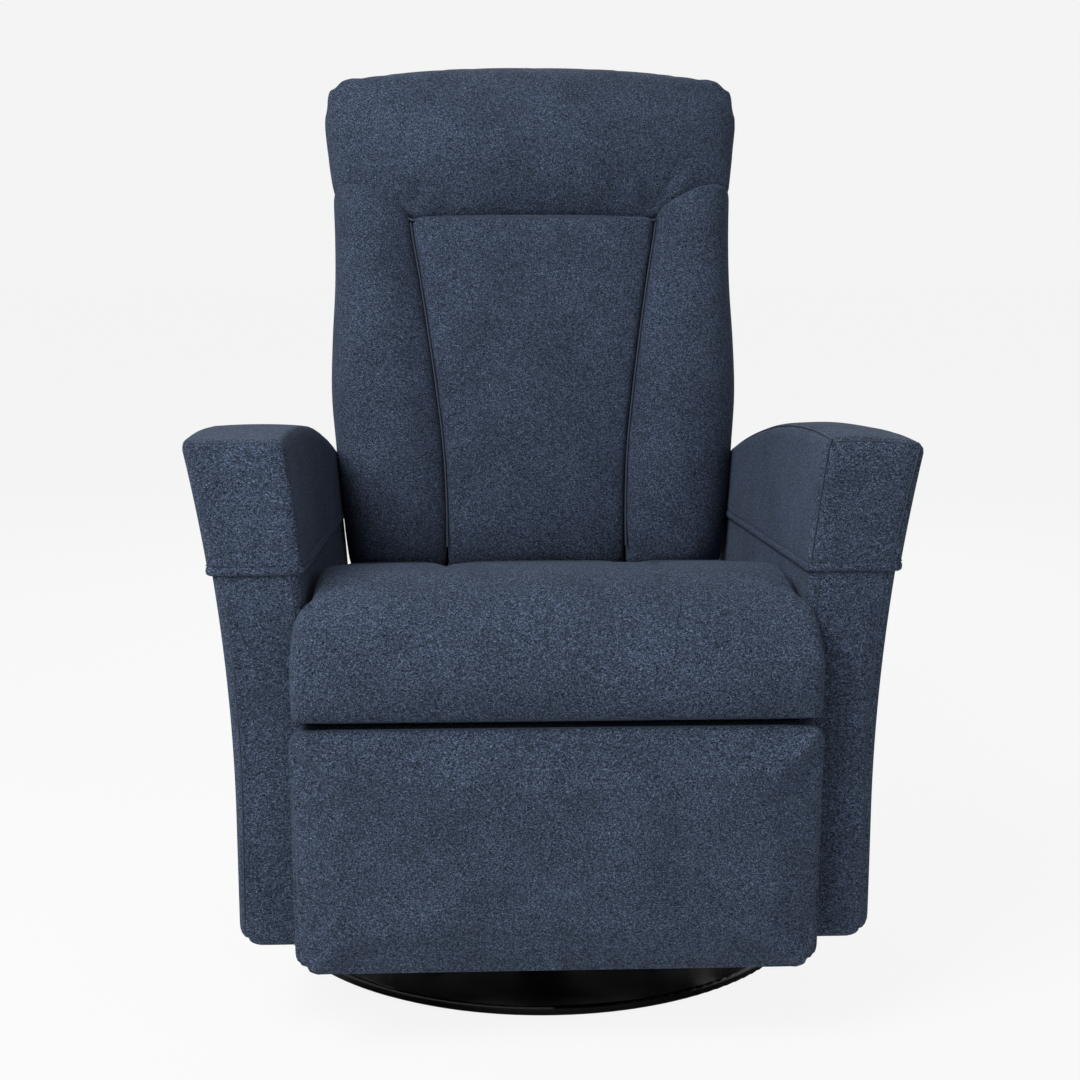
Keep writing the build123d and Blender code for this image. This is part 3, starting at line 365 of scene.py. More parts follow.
@dataclass(frozen=True)
class PlatedSteel:
    """Bright zinc-plated steel: pale metal with a fine drawn grain and dull handling patches."""

    name: str = "zinc_plated_steel"
    dark: str = "8d9196"
    light: str = "c3c7ca"
    # The drawn grain is too fine to show and is coarsened to about a millimetre.
    grain_mm: float = 0.9
    grain_height: float = 0.0002
    patch_mm: float = 18.0

    def material(self) -> bpy.types.Material:
        """Metal whose tone and roughness follow the same patches.

        Returns:
            The finished material.
        """
        material, tree = new_material(self.name)
        place = add_node(tree, "ShaderNodeTexCoord").outputs["Object"]
        grain = add_node(
            tree, "ShaderNodeTexNoise", {"Vector": place, "Scale": per_mm(self.grain_mm), "Detail": 3.0}
        )
        patch = add_node(
            tree, "ShaderNodeTexNoise", {"Vector": place, "Scale": per_mm(self.patch_mm), "Detail": 4.0}
        )
        tone = add_node(
            tree,
            "ShaderNodeMix",
            {0: patch.outputs[0], 6: linear(self.dark), 7: linear(self.light)},
            data_type="RGBA",
        )
        dull = add_node(
            tree,
            "ShaderNodeMapRange",
            {"Value": patch.outputs[0], "From Min": 0.3, "From Max": 0.7, "To Min": 0.24, "To Max": 0.42},
        )
        bump = add_node(
            tree,
            "ShaderNodeBump",
            {"Strength": 0.12, "Distance": self.grain_height, "Height": grain.outputs[0]},
        )
        shader = add_node(
            tree,
            "ShaderNodeBsdfPrincipled",
            {
                "Base Color": tone.outputs[2],
                "Metallic": 1.0,
                "Roughness": dull.outputs[0],
                "Normal": bump.outputs[0],
            },
        )
        add_node(tree, "ShaderNodeOutputMaterial", {"Surface": shader.outputs[0]})
        return material


@dataclass(frozen=True)
class FibrousSolid:
    """A matt solid with two tones: moulded nylon, rotary-cut plywood or pressed needle felt."""

    name: str
    dark: str
    light: str
    grain_mm: tuple[float, float, float]
    roughness: float
    relief: float
    specular: float = 0.35

    def material(self) -> bpy.types.Material:
        """Grain stretched along the axis with the largest size.

        Returns:
            The finished material.
        """
        material, tree = new_material(self.name)
        place = add_node(tree, "ShaderNodeTexCoord").outputs["Object"]
        scaled = add_node(
            tree,
            "ShaderNodeMapping",
            {"Vector": place, "Scale": tuple(per_mm(size) for size in self.grain_mm)},
        )
        grain = add_node(
            tree,
            "ShaderNodeTexNoise",
            {"Vector": scaled.outputs[0], "Scale": 1.0, "Detail": 5.0, "Distortion": 0.5},
        )
        spread = add_node(
            tree, "ShaderNodeMapRange", {"Value": grain.outputs[0], "From Min": 0.32, "From Max": 0.7}
        )
        tone = add_node(
            tree,
            "ShaderNodeMix",
            {0: spread.outputs[0], 6: linear(self.dark), 7: linear(self.light)},
            data_type="RGBA",
        )
        bump = add_node(
            tree, "ShaderNodeBump", {"Strength": 0.3, "Distance": self.relief, "Height": grain.outputs[0]}
        )
        shader = add_node(
            tree,
            "ShaderNodeBsdfPrincipled",
            {
                "Base Color": tone.outputs[2],
                "Roughness": self.roughness,
                "Specular IOR Level": self.specular,
                "Normal": bump.outputs[0],
            },
        )
        add_node(tree, "ShaderNodeOutputMaterial", {"Surface": shader.outputs[0]})
        return material


class Finishes:
    """Every finish of the chair, made once."""

    def __init__(self) -> None:
        """Make the materials."""
        self.cloth = WoolFelt().material()
        self.thread = SpunThread().material()
        # Gloss-baked enamel on the turned disc: near black, with clear soft reflections at its rim.
        self.disc = CoatedSteel("gloss_black_enamel", "020202", "040405", 0.2, 2.2, 0.0001, 0.3).material()
        # Polyester powder coat on the frame: dull black with a fine even texture.
        self.frame = CoatedSteel("black_powder_coat", "131416", "1f2123", 0.55, 1.0, 0.0004).material()
        self.bright = PlatedSteel().material()
        # Moulded nylon bush: creamy white, waxy, almost no grain.
        self.nylon = FibrousSolid(
            "moulded_nylon", "d8d4c8", "e6e3da", (8.0, 8.0, 8.0), 0.45, 0.0001, 0.5
        ).material()
        # Birch plywood: pale, with long fine grain that runs fore and aft.
        self.timber = FibrousSolid(
            "birch_plywood", "b58e5e", "d9bb8b", (2.6, 40.0, 2.6), 0.62, 0.0003
        ).material()
        # Needle-punched floor felt: charcoal grey, loose and matt.
        self.felt = FibrousSolid(
            "needle_felt", "242526", "3b3c3e", (2.0, 2.0, 2.0), 0.96, 0.0008, 0.1
        ).material()


# Mesh tools


def between(start: float, end: float, share: float) -> float:
    """Value at that share of the way from start to end."""
    return start + (end - start) * share


def ease(start: float, end: float, value: float) -> float:
    """Smooth step from 0 at start to 1 at end."""
    share = max(0.0, min(1.0, (value - start) / (end - start)))
    return share * share * (3 - 2 * share)


def fall(away: float, reach: float, drop: float) -> float:
    """Drop of a quarter ellipse at a distance from the edge that it rounds.

    Args:
        away: Distance from the edge.
        reach: Distance at which the rounding starts.
        drop: Drop at the edge itself.

    Returns:
        The drop there.
    """
    share = max(0.0, min(1.0, 1 - away / reach))
    return drop * (1 - math.sqrt(1 - share**2))


@dataclass(frozen=True)
class Profile:
    """A smooth curve through a few measured stations."""

    stations: tuple[tuple[float, float], ...]

    def at(self, place: float) -> float:
        """Value of the curve.

        Args:
            place: Distance along the stations.

        Returns:
            The value there, held level beyond the ends.
        """
        rows = self.stations
        if place <= rows[0][0]:
            return rows[0][1]
        if place >= rows[-1][0]:
            return rows[-1][1]
        step = next(i for i in range(len(rows) - 1) if place <= rows[i + 1][0])
        (x0, y0), (x1, y1) = rows[step], rows[step + 1]
        slopes = []
        for i in (step, step + 1):
            low, high = rows[max(i - 1, 0)], rows[min(i + 1, len(rows) - 1)]
            slopes.append((high[1] - low[1]) / (high[0] - low[0]) * (x1 - x0))
        t = (place - x0) / (x1 - x0)
        return (
            y0 * (2 * t**3 - 3 * t**2 + 1)
            + slopes[0] * (t**3 - 2 * t**2 + t)
            + y1 * (3 * t**2 - 2 * t**3)
            + slopes[1] * (t**3 - t**2)
        )


def bulge(first: float, second: float, sharp: float = 0.5) -> float:
    """Fullness of a padded face at a point of the unit square: 1 in the middle, 0 at the edges."""
    return max(0.0, 1 - first**2) ** 0.5 * max(0.0, 1 - second**2) ** sharp


def corner_pull(over_a: float, over_b: float) -> float:
    """Factor that draws a point past both limits of a square corner onto a round one."""
    return max(over_a, over_b) / math.hypot(over_a, over_b)


def soft_block(
    cells: tuple[int, int, int],
    half: tuple[float, float, float],
    radius: float,
    place: Callable[[Vector], Vector],
) -> bmesh.types.BMesh:
    """Grid a cube, round its edges and move it to its place.

    Args:
        cells: Cells along X, Y and Z.
        half: Half sizes that the edge radius is measured against.
        radius: Radius of the rounded edges.
        place: Turns a point of the rounded unit cube into a place on the chair.

    Returns:
        The new mesh, with its faces pointing outwards.
    """
    bm = bmesh.new()
    bmesh.ops.create_cube(bm, size=2.0)
    for axis, count in enumerate(cells):
        along = [e for e in bm.edges if abs(e.verts[0].co[axis] - e.verts[1].co[axis]) > 1e-6]
        bmesh.ops.subdivide_edges(bm, edges=along, cuts=count - 1, use_grid_fill=True)
    for vert in bm.verts:
        reach = [c * h for c, h in zip(vert.co, half)]
        core = [max(radius - h, min(h - radius, r)) for r, h in zip(reach, half)]
        away = Vector(r - c for r, c in zip(reach, core))
        away.normalize()
        vert.co = place(Vector((c + a * radius) / h for c, a, h in zip(core, away, half)))
    bmesh.ops.recalc_face_normals(bm, faces=bm.faces[:])
    return bm


def new_piece(bm: bmesh.types.BMesh, name: str, material: bpy.types.Material) -> bpy.types.Object:
    """Make a smooth-shaded object of a finished mesh.

    Args:
        bm: The mesh, which is freed.
        name: The piece's name.
        material: Its finish.

    Returns:
        The object, at the origin.
    """
    for face in bm.faces:
        face.smooth = True
    mesh = bpy.data.meshes.new(name)
    bm.to_mesh(mesh)
    bm.free()
    mesh.materials.append(material)
    piece = bpy.data.objects.new(name, mesh)
    bpy.context.scene.collection.objects.link(piece)
    return piece


def apply_modifier(piece: bpy.types.Object, kind: str, **settings: object) -> None:
    """Add one modifier and keep its result as the piece's mesh.

    Args:
        piece: The object.
        kind: Blender's modifier type.
        settings: The modifier's attributes.
    """
    modifier = piece.modifiers.new(kind.lower(), kind)
    for key, value in settings.items():
        setattr(modifier, key, value)
    keep_shape(piece)


def keep_shape(piece: bpy.types.Object) -> None:
    """Bake a piece's modifiers into its mesh."""
    bpy.context.view_layer.update()
    ready = piece.evaluated_get(bpy.context.evaluated_depsgraph_get())
    mesh = bpy.data.meshes.new_from_object(ready)
    piece.modifiers.clear()
    piece.data = mesh
    mesh.shade_smooth()


def puff(
    piece: bpy.types.Object,
    held: Callable[[Vector], float],
    voxel: float = 0.006,
    pressure: float = 4.0,
    cap: float = 0.024,
    frames: int = 20,
) -> None:
    """Fill a padded piece: remesh it, let cloth swell over its stuffing, and smooth it once.

    Args:
        piece: The padded piece.
        held: How firmly a point is sewn or rests, from 0 to 1.
        voxel: Cell size of the remeshed cloth.
        pressure: Pressure of the stuffing.
        cap: Furthest that a point may move.
        frames: Length of the simulation.
    """
    apply_modifier(piece, "REMESH", mode="VOXEL", voxel_size=voxel)
    rest = [vert.co.copy() for vert in piece.data.vertices]
    group = piece.vertex_groups.new(name="held")
    for vert in piece.data.vertices:
        group.add([vert.index], held(vert.co), "REPLACE")
    cloth = piece.modifiers.new("stuffing", "CLOTH")
    cloth.settings.quality = 5
    cloth.settings.use_pressure = True
    cloth.settings.uniform_pressure_force = pressure
    cloth.settings.vertex_group_mass = group.name
    cloth.settings.effector_weights.gravity = 0.0
    cloth.point_cache.frame_start = 1
    cloth.point_cache.frame_end = frames
    for step in range(1, frames + 1):
        bpy.context.scene.frame_set(step)
    keep_shape(piece)
    bpy.context.scene.frame_set(1)
    piece.vertex_groups.clear()
    moves = []
    for vert, start in zip(piece.data.vertices, rest):
        move = vert.co - start
        moves.append(move.length)
        if move.length > cap:
            vert.co = start + move * (cap / move.length)
    log.info("%s swelled by up to %.1f mm", piece.name, 1000 * max(moves))
    apply_modifier(piece, "SUBSURF", levels=1, render_levels=1)


def surface_line(
    piece: bpy.types.Object, knots: Sequence[Vector], step: float = 0.003, closed: bool = False
) -> Line3:
    """Lay a line on a piece's surface.

    Args:
        piece: The piece.
        knots: Points near the surface that the line goes through.
        step: Spacing of the line's points.
        closed: Whether the line comes back to its start.

    Returns:
        Points on the surface with the surface's normals.
    """
    bm = bmesh.new()
    bm.from_mesh(piece.data)
    tree = BVHTree.FromBMesh(bm)
    bm.free()
    ends = list(knots) + ([knots[0]] if closed else [])
    line: Line3 = []
    for start, end in zip(ends, ends[1:]):
        count = max(1, round((end - start).length / step))
        for i in range(count):
            spot, normal, _, _ = tree.find_nearest(start.lerp(end, i / count))
            line.append((spot, normal))
    if not closed:
        spot, normal, _, _ = tree.find_nearest(ends[-1])
        line.append((spot, normal))
    return line


def press(piece: bpy.types.Object, line: Line3, depth: float, width: float) -> None:
    """Press a rounded valley into a piece along a line, or raise a ridge where the depth is negative.

    Args:
        piece: The piece.
        line: Points on its surface.
        depth: Depth of the valley.
        width: Distance at which the valley has mostly faded.
    """
    tree = KDTree(len(line))
    for i, (spot, _) in enumerate(line):
        tree.insert(spot, i)
    tree.balance()
    normals = [vert.normal.copy() for vert in piece.data.vertices]
    for vert, normal in zip(piece.data.vertices, normals):
        _, _, away = tree.find(vert.co)
        if away < 2.5 * width:
            vert.co -= normal * depth * math.exp(-((away / width) ** 2))
    piece.data.update()


def seam_tube(
    name: str,
    line: Line3,
    radius: float,
    material: bpy.types.Material,
    lift: float = 0.0,
    closed: bool = False,
) -> bpy.types.Object:
    """Run a thin welt along a line.

    Args:
        name: The welt's name.
        line: Points and normals that it follows.
        radius: Its radius.
        material: Its finish.
        lift: Height of its middle over the line.
        closed: Whether it joins its own start.

    Returns:
        The welt as a mesh.
    """
    curve = bpy.data.curves.new(name, "CURVE")
    curve.dimensions = "3D"
    curve.bevel_depth = radius
    curve.bevel_resolution = 2
    curve.use_fill_caps = True
    spline = curve.splines.new("POLY")
    spline.points.add(len(line) - 1)
    for point, (spot, normal) in zip(spline.points, line):
        point.co = (*(spot + normal * lift), 1.0)
    spline.use_cyclic_u = closed
    path = bpy.data.objects.new(name + "_path", curve)
    bpy.context.scene.collection.objects.link(path)
    bpy.context.view_layer.update()
    mesh = bpy.data.meshes.new_from_object(path.evaluated_get(bpy.context.evaluated_depsgraph_get()))
    bpy.data.objects.remove(path)
    mesh.name = name
    mesh.materials.clear()
    mesh.materials.append(material)
    mesh.shade_smooth()
    piece = bpy.data.objects.new(name, mesh)
    bpy.context.scene.collection.objects.link(piece)
    return piece


def stitch_row(bm: bmesh.types.BMesh, line: Line3) -> None:
    """Sew a row of separate stitches along a line.

    Args:
        bm: Mesh that takes the stitches.
        line: Points and normals that they follow.
    """
    travelled = STITCH_PITCH / 2
    for (start, normal), (end, _) in zip(line, line[1:]):
        travelled += (end - start).length
        if travelled < STITCH_PITCH or (end - start).length < 1e-6:
            continue
        travelled -= STITCH_PITCH
        turn = (end - start).to_track_quat("X", "Z").to_matrix().to_4x4()
        size = Matrix.Diagonal((STITCH_LENGTH / 2, STITCH_RADIUS, STITCH_RADIUS, 1.0))
        spot = Matrix.Translation(start + normal * STITCH_RADIUS * 0.3)
        bmesh.ops.create_icosphere(bm, subdivisions=1, radius=1.0, matrix=spot @ turn @ size)


def mount(piece: bpy.types.Object, body: Body, nodes: Sequence[str] = ()) -> None:
    """Set a cloth piece on its body and hide the CAD nodes that it replaces.

    Args:
        piece: The finished piece.
        body: CAD body that it moves with.
        nodes: CAD nodes that it replaces.
    """
    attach(piece, body.value)
    if nodes:
        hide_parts(*nodes)
    log.info("%s: %d faces on %s", piece.name, len(piece.data.polygons), body.value)


# Arms


@dataclass
class Arm:
    """One flared, padded arm with its wrap-over cap."""

    side: Side
    finishes: Finishes
    front: float = -0.379
    rear: float = 0.235
    bottom: float = 0.1095
    hem_front: float = 0.511
    hem_rear: float = 0.478
    hem_height: float = 0.010
    slump: float = 0.006
    flare_start: float = 0.250
    inner_foot: float = 0.250
    outer_foot: float = 0.3360
    inner_radius: float = 2.6286
    outer_radius: float = 1.9101
    cap_thickness: float = 0.004
    edge: float = 0.009
    cap_edge: float = 0.011
    foot_corner: float = 0.024
    hem_corner: float = 0.008
    hem_thickness: float = 0.0026
    hem_seam: float = 0.0009
    tuck: float = 0.016
    side_plump: float = 0.003
    end_plump: float = 0.0035
    cap_plump: float = 0.003
    top_plump: float = 0.004
    crest: Profile = Profile(
        ((-0.383, 0.65), (-0.28, 0.6484), (-0.17, 0.6411), (-0.04, 0.625), (0.11, 0.5962), (0.239, 0.564))
    )

    def hem(self, y: float) -> float:
        """Height of the cap's lower edge, which falls towards the rear."""
        return between(self.hem_front, self.hem_rear, (y - self.front) / (self.rear - self.front))

    def lean(self, radius: float, z: float) -> float:
        """How far the flare has moved outwards at a height."""
        rise = max(0.0, z - self.flare_start)
        return radius - math.sqrt(radius**2 - rise**2)

    def across(self, share: float, z: float, grow: float) -> float:
        """X of a point between the inner face (0) and the outer face (1) at a height."""
        inner = self.inner_foot + self.lean(self.inner_radius, z) - grow
        outer = self.outer_foot + self.lean(self.outer_radius, z) + grow
        return self.side.value * between(inner, outer, share)

    def body_place(self, p: Vector) -> Vector:
        """Place of a unit-cube point on the padded arm below the cap."""
        y = between(self.front, self.rear, (p.y + 1) / 2)
        z = between(self.bottom, self.hem(y) + self.tuck, (p.z + 1) / 2)
        width = self.outer_foot - self.inner_foot
        share = (p.x + 1) / 2
        reach_x, reach_z = share * width - width + self.foot_corner, self.foot_corner - z + self.bottom
        if reach_x > 0 and reach_z > 0:
            pull = corner_pull(reach_x, reach_z)
            share = (width - self.foot_corner + reach_x * pull) / width
            z = self.bottom + self.foot_corner - reach_z * pull
        spot = Vector((self.across(share, z, 0.0), y, z))
        spot.x += self.side.value * self.side_plump * bulge(p.y, p.z) * p.x
        spot.y += self.end_plump * bulge(p.x, p.z, 0.3) * p.y
        return spot

    def cap_place(self, p: Vector) -> Vector:
        """Place of a unit-cube point on the cap."""
        y = between(self.front - self.cap_thickness, self.rear + self.cap_thickness, (p.y + 1) / 2)
        slump = self.slump * ease(-0.2, 1.0, p.x) if self.side is Side.LEFT else 0.0
        z = between(self.hem(y) + 0.002, self.crest.at(y) - slump, (p.z + 1) / 2)
        spot = Vector((self.across((p.x + 1) / 2, z, self.cap_thickness), y, z))
        spot.z += self.top_plump * bulge(p.x, p.y, 0.4) * max(0.0, p.z)
        spot.y += self.cap_plump * bulge(p.x, p.z) * p.y
        return spot

    def build(self) -> None:
        """Make the padded arm, its cap, the hem and the seams."""
        word, cloth = self.side.word, self.finishes.cloth
        padding = soft_block((16, 96, 64), (0.0405, 0.307, 0.204), self.edge, self.body_place)
        body = new_piece(padding, f"arm_padding_{word}", cloth)
        cover = soft_block((22, 110, 26), (0.05, 0.313, 0.07), self.cap_edge, self.cap_place)
        cap = new_piece(cover, f"arm_cover_{word}", cloth)
        seams = [
            self.front_welt(body, "outer", (0.90, 0.95)),
            self.front_welt(body, "inner", (0.10, 0.06)),
            *self.cap_seams(cap),
            *self.hem_band(),
        ]
        mount(body, Body.CHASSIS, (f"arm_{word}",))
        mount(cap, Body.CHASSIS, (f"arm_cap_{word}",))
        for piece in seams:
            mount(piece, Body.CHASSIS)

    def front_welt(self, body: bpy.types.Object, edge: str, shares: tuple[float, float]) -> bpy.types.Object:
        """Welt seam down the front panel.

        Args:
            body: The padded arm.
            edge: Which edge the welt follows.
            shares: Its place between the inner and the outer face, at the hem and at the foot.

        Returns:
            The welt.
        """
        knots = []
        for i in range(25):
            z = between(self.hem_front - 0.002, self.bottom + 0.016, i / 24)
            knots.append(Vector((self.across(between(*shares, i / 24), z, 0.0), self.front - 0.01, z)))
        line = surface_line(body, knots)
        press(body, line, 0.0022, 0.0040)
        name = f"arm_front_welt_{edge}_{self.side.word}"
        return seam_tube(name, line, WELT_RADIUS, self.finishes.thread, -WELT_SINK)

    def cap_seams(self, cap: bpy.types.Object) -> list[bpy.types.Object]:
        """Sew the cap's panels: both edges of its front, the front's top edge and the inner top edge.

        Args:
            cap: The cap, whose cloth is pressed in along the seams.

        Returns:
            The seams.
        """
        grow, front = self.cap_thickness, self.front - self.cap_thickness
        low, top = self.hem_front + self.hem_height, self.crest.at(front)
        rise = [i / 16 for i in range(17)]
        heights = [between(low, top - 0.004, share) for share in rise]
        inner = [Vector((self.across(0.012, z, grow), front, z)) for z in heights]
        lengths = [between(front + 0.006, self.rear - 0.010, i / 29) for i in range(30)]
        crest = [(y, self.crest.at(y) + 0.002) for y in lengths]
        inner += [Vector((self.across(0.03, z, grow), y, z)) for y, z in crest]
        outer = [
            Vector((self.across(between(0.87, 0.955, share), z, grow), front - 0.004, z))
            for share, z in zip(rise, heights)
        ]
        outer += [Vector((self.across(0.965, z + 0.003, grow), y, z + 0.003)) for y, z in crest]
        over = [
            Vector((self.across(share, top, grow), front + 0.001, top - 0.001))
            for share in (0.04, 0.35, 0.65, 0.96)
        ]
        pieces = []
        runs = (("inner", inner, 0.0018), ("outer", outer, 0.0014), ("front", over, 0.0010))
        for name, knots, depth in runs:
            line = surface_line(cap, knots)
            press(cap, line, depth, 0.0036)
            label = f"arm_cap_seam_{name}_{self.side.word}"
            pieces.append(seam_tube(label, line, SEAM_RADIUS, self.finishes.thread, -0.0006))
        return pieces

    def hem_loop(self, rise: float, out: float) -> list[Vector]:
        """Closed loop round the cap, level with the hem.

        Args:
            rise: Height over the hem.
            out: Distance outside the cap's own surface.

        Returns:
            The loop's points.
        """
        grow, corner = self.cap_thickness + out, self.hem_corner
        front, rear = self.front - grow, self.rear + grow
        shares = [0.0] * 8 + [0.03] + [i / 6 for i in range(1, 6)] + [0.97]
        ends = [between(front + corner, rear - corner, i / 7) for i in range(8)]
        around = ends + [rear - corner * 0.3] + [rear] * 5 + [rear - corner * 0.3]
        shares += [1.0] * 8 + [0.97] + [i / 6 for i in range(5, 0, -1)] + [0.03]
        around += ends[::-1] + [front + corner * 0.3] + [front] * 5 + [front + corner * 0.3]
        loop = []
        for share, y in zip(shares, around):
            z = self.hem(y) + rise
            loop.append(Vector((self.across(share, z, grow), y, z)))
        return loop

    def hem_band(self) -> list[bpy.types.Object]:
        """Make the folded hem round the cap's lower edge and the line it is sewn with."""
        half, thick = self.hem_height / 2, self.hem_thickness
        band = seam_tube(
            f"arm_cap_hem_{self.side.word}",
            [(spot, UP) for spot in self.hem_loop(half, -0.0008)],
            thick,
            self.finishes.cloth,
            closed=True,
        )
        for vert in band.data.vertices:
            middle = self.hem(vert.co.y) + half
            vert.co.z = middle + (vert.co.z - middle) * half / thick
        sewn = seam_tube(
            f"arm_cap_hem_seam_{self.side.word}",
            [(spot, UP) for spot in self.hem_loop(self.hem_height + 0.0006, -0.0002)],
            self.hem_seam,
            self.finishes.thread,
            closed=True,
        )
        return [band, sewn]


# Seat


@dataclass
class Seat:
    """The seat cushion, whose front roll spreads over the arms' fronts, and the closed rear panel."""

    finishes: Finishes
    front: float = -0.436
    rear: float = 0.110
    half: float = 0.248
    flare: float = 0.0095
    roll_half: float = 0.273
    roll_from: float = -0.381
    bottom: float = 0.3467
    roll_bottom: float = 0.3618
    channel: float = 0.116
    edge: float = 0.014
    nose_reach: float = 0.130
    nose_drop: float = 0.072
    nose_tuck: float = 0.017
    tuck_reach: float = 0.056
    end_reach: float = 0.026
    end_drop: float = 0.026
    inner_share: float = 0.6
    swell_room: float = 0.002
    roll_width: tuple[float, float] = (0.012, 0.006)
    under_width: tuple[float, float] = (0.014, 0.004)
    spring_rest: tuple[float, float] = (0.385, 0.365)
    roll_rest: tuple[float, float] = (0.392, 0.374)
    panel_crown: float = 0.002
    panel_edge: float = 0.0055
    panel_inset: float = 0.014
    top: Profile = Profile(
        ((-0.436, 0.501), (-0.27, 0.501), (-0.20, 0.4885), (-0.11, 0.464), (0.0, 0.449), (0.110, 0.438))
    )

    def place(self, p: Vector) -> Vector:
        """Place of a unit-cube point on the cushion, before it swells."""
        y = between(self.front, self.rear, (p.y + 1) / 2)
        behind, before = self.roll_width
        roll = ease(self.roll_from + behind, self.roll_from - before, y)
        half = between(self.half + self.flare * (p.z + 1) / 2, self.roll_half, roll)
        behind, before = self.under_width
        raised = ease(self.roll_from + behind, self.roll_from - before, y)
        low = between(self.bottom, self.roll_bottom, raised)
        high = self.top.at(y) - self.swell_room - fall(y - self.front, self.nose_reach, self.nose_drop)
        reach = between(self.inner_share, 1.0, roll)
        high -= fall(half * (1 - abs(p.x)), self.end_reach * reach, self.end_drop * reach)
        z = between(low, high, (p.z + 1) / 2)
        tuck = fall(z - low, self.tuck_reach, self.nose_tuck) * ease(self.roll_from + 0.03, self.front, y)
        return Vector((p.x * half, y + tuck, z))

    def held(self, spot: Vector) -> float:
        """The underside rests on its springs and the sides lie against the arms."""
        if spot.y > self.roll_from:
            under = ease(*self.spring_rest, spot.z)
        else:
            under = 0.4 * ease(*self.roll_rest, spot.z)
        beside = 0.9 if abs(spot.x) > self.half - 0.004 and spot.y > self.roll_from - 0.006 else 0.0
        behind = 0.8 * ease(self.rear - 0.02, self.rear - 0.004, spot.y)
        sewn = 0.35 * math.exp(-(((abs(spot.x) - self.channel) / 0.008) ** 2)) * ease(-0.36, -0.2, spot.y)
        return max(under, beside, behind, sewn)

    def build(self) -> None:
        """Make the cushion with its channels and seams."""
        blank = soft_block((90, 90, 18), (0.260, 0.272, 0.0575), self.edge, self.place)
        cushion = new_piece(blank, "seat_cushion_cover", self.finishes.cloth)
        puff(cushion, self.held, cap=0.022)
        welts = []
        for side in Side:
            runs = [between(self.rear - 0.006, -0.29, i / 20) for i in range(21)]
            knots = [Vector((side.value * self.channel, y, self.top.at(y) + 0.01)) for y in runs]
            line = surface_line(cushion, knots)
            press(cushion, line[: len(line) * 2 // 3], 0.0045, 0.018)
            press(cushion, line, 0.0030, 0.0060)
            name = f"seat_channel_seam_{side.word}"
            welts.append(seam_tube(name, line, SEAM_RADIUS, self.finishes.thread, -0.0026))
        low_y, low_z = self.front + 0.018, self.roll_bottom - 0.004
        under = [Vector((x, low_y, low_z)) for x in (-0.255, -0.1, 0.1, 0.255)]
        line = surface_line(cushion, under)
        press(cushion, line, 0.002, 0.005)
        welts.append(seam_tube("seat_front_seam", line, WELT_RADIUS, self.finishes.thread, -WELT_SINK))
        mount(cushion, Body.CHASSIS, ("seat_cushion",))
        for welt in welts:
            mount(welt, Body.CHASSIS)
        self.rear_cover()

    def rear_cover(self) -> None:
        """Make the upholstered panel that closes the chassis behind."""
        low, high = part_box("rear_panel")
        middle, half = (low + high) / 2, (high - low) / 2

        def place(p: Vector) -> Vector:
            """Place of a unit-cube point on the panel, crowned to the rear."""
            full = max(0.0, 1 - p.x**2) ** 0.4 * max(0.0, 1 - p.z**2) ** 0.4
            crown = self.panel_crown * full * max(0.0, p.y)
            return Vector((middle.x + p.x * half.x, middle.y + p.y * half.y + crown, middle.z + p.z * half.z))

        blank = soft_block((72, 6, 36), tuple(half), self.panel_edge, place)
        panel = new_piece(blank, "rear_panel_cover", self.finishes.cloth)
        inset = self.panel_inset
        corners = [(-1, -1), (-1, 1), (1, 1), (1, -1)]
        knots = [
            Vector((middle.x + a * (half.x - inset), high.y + 0.004, middle.z + b * (half.z - inset)))
            for a, b in corners
        ]
        sewn = bmesh.new()
        stitch_row(sewn, surface_line(panel, knots, STITCH_STEP, True))
        row = new_piece(sewn, "rear_panel_topstitch", self.finishes.thread)
        mount(panel, Body.CHASSIS, ("rear_panel",))
        mount(row, Body.CHASSIS)


# Footrest


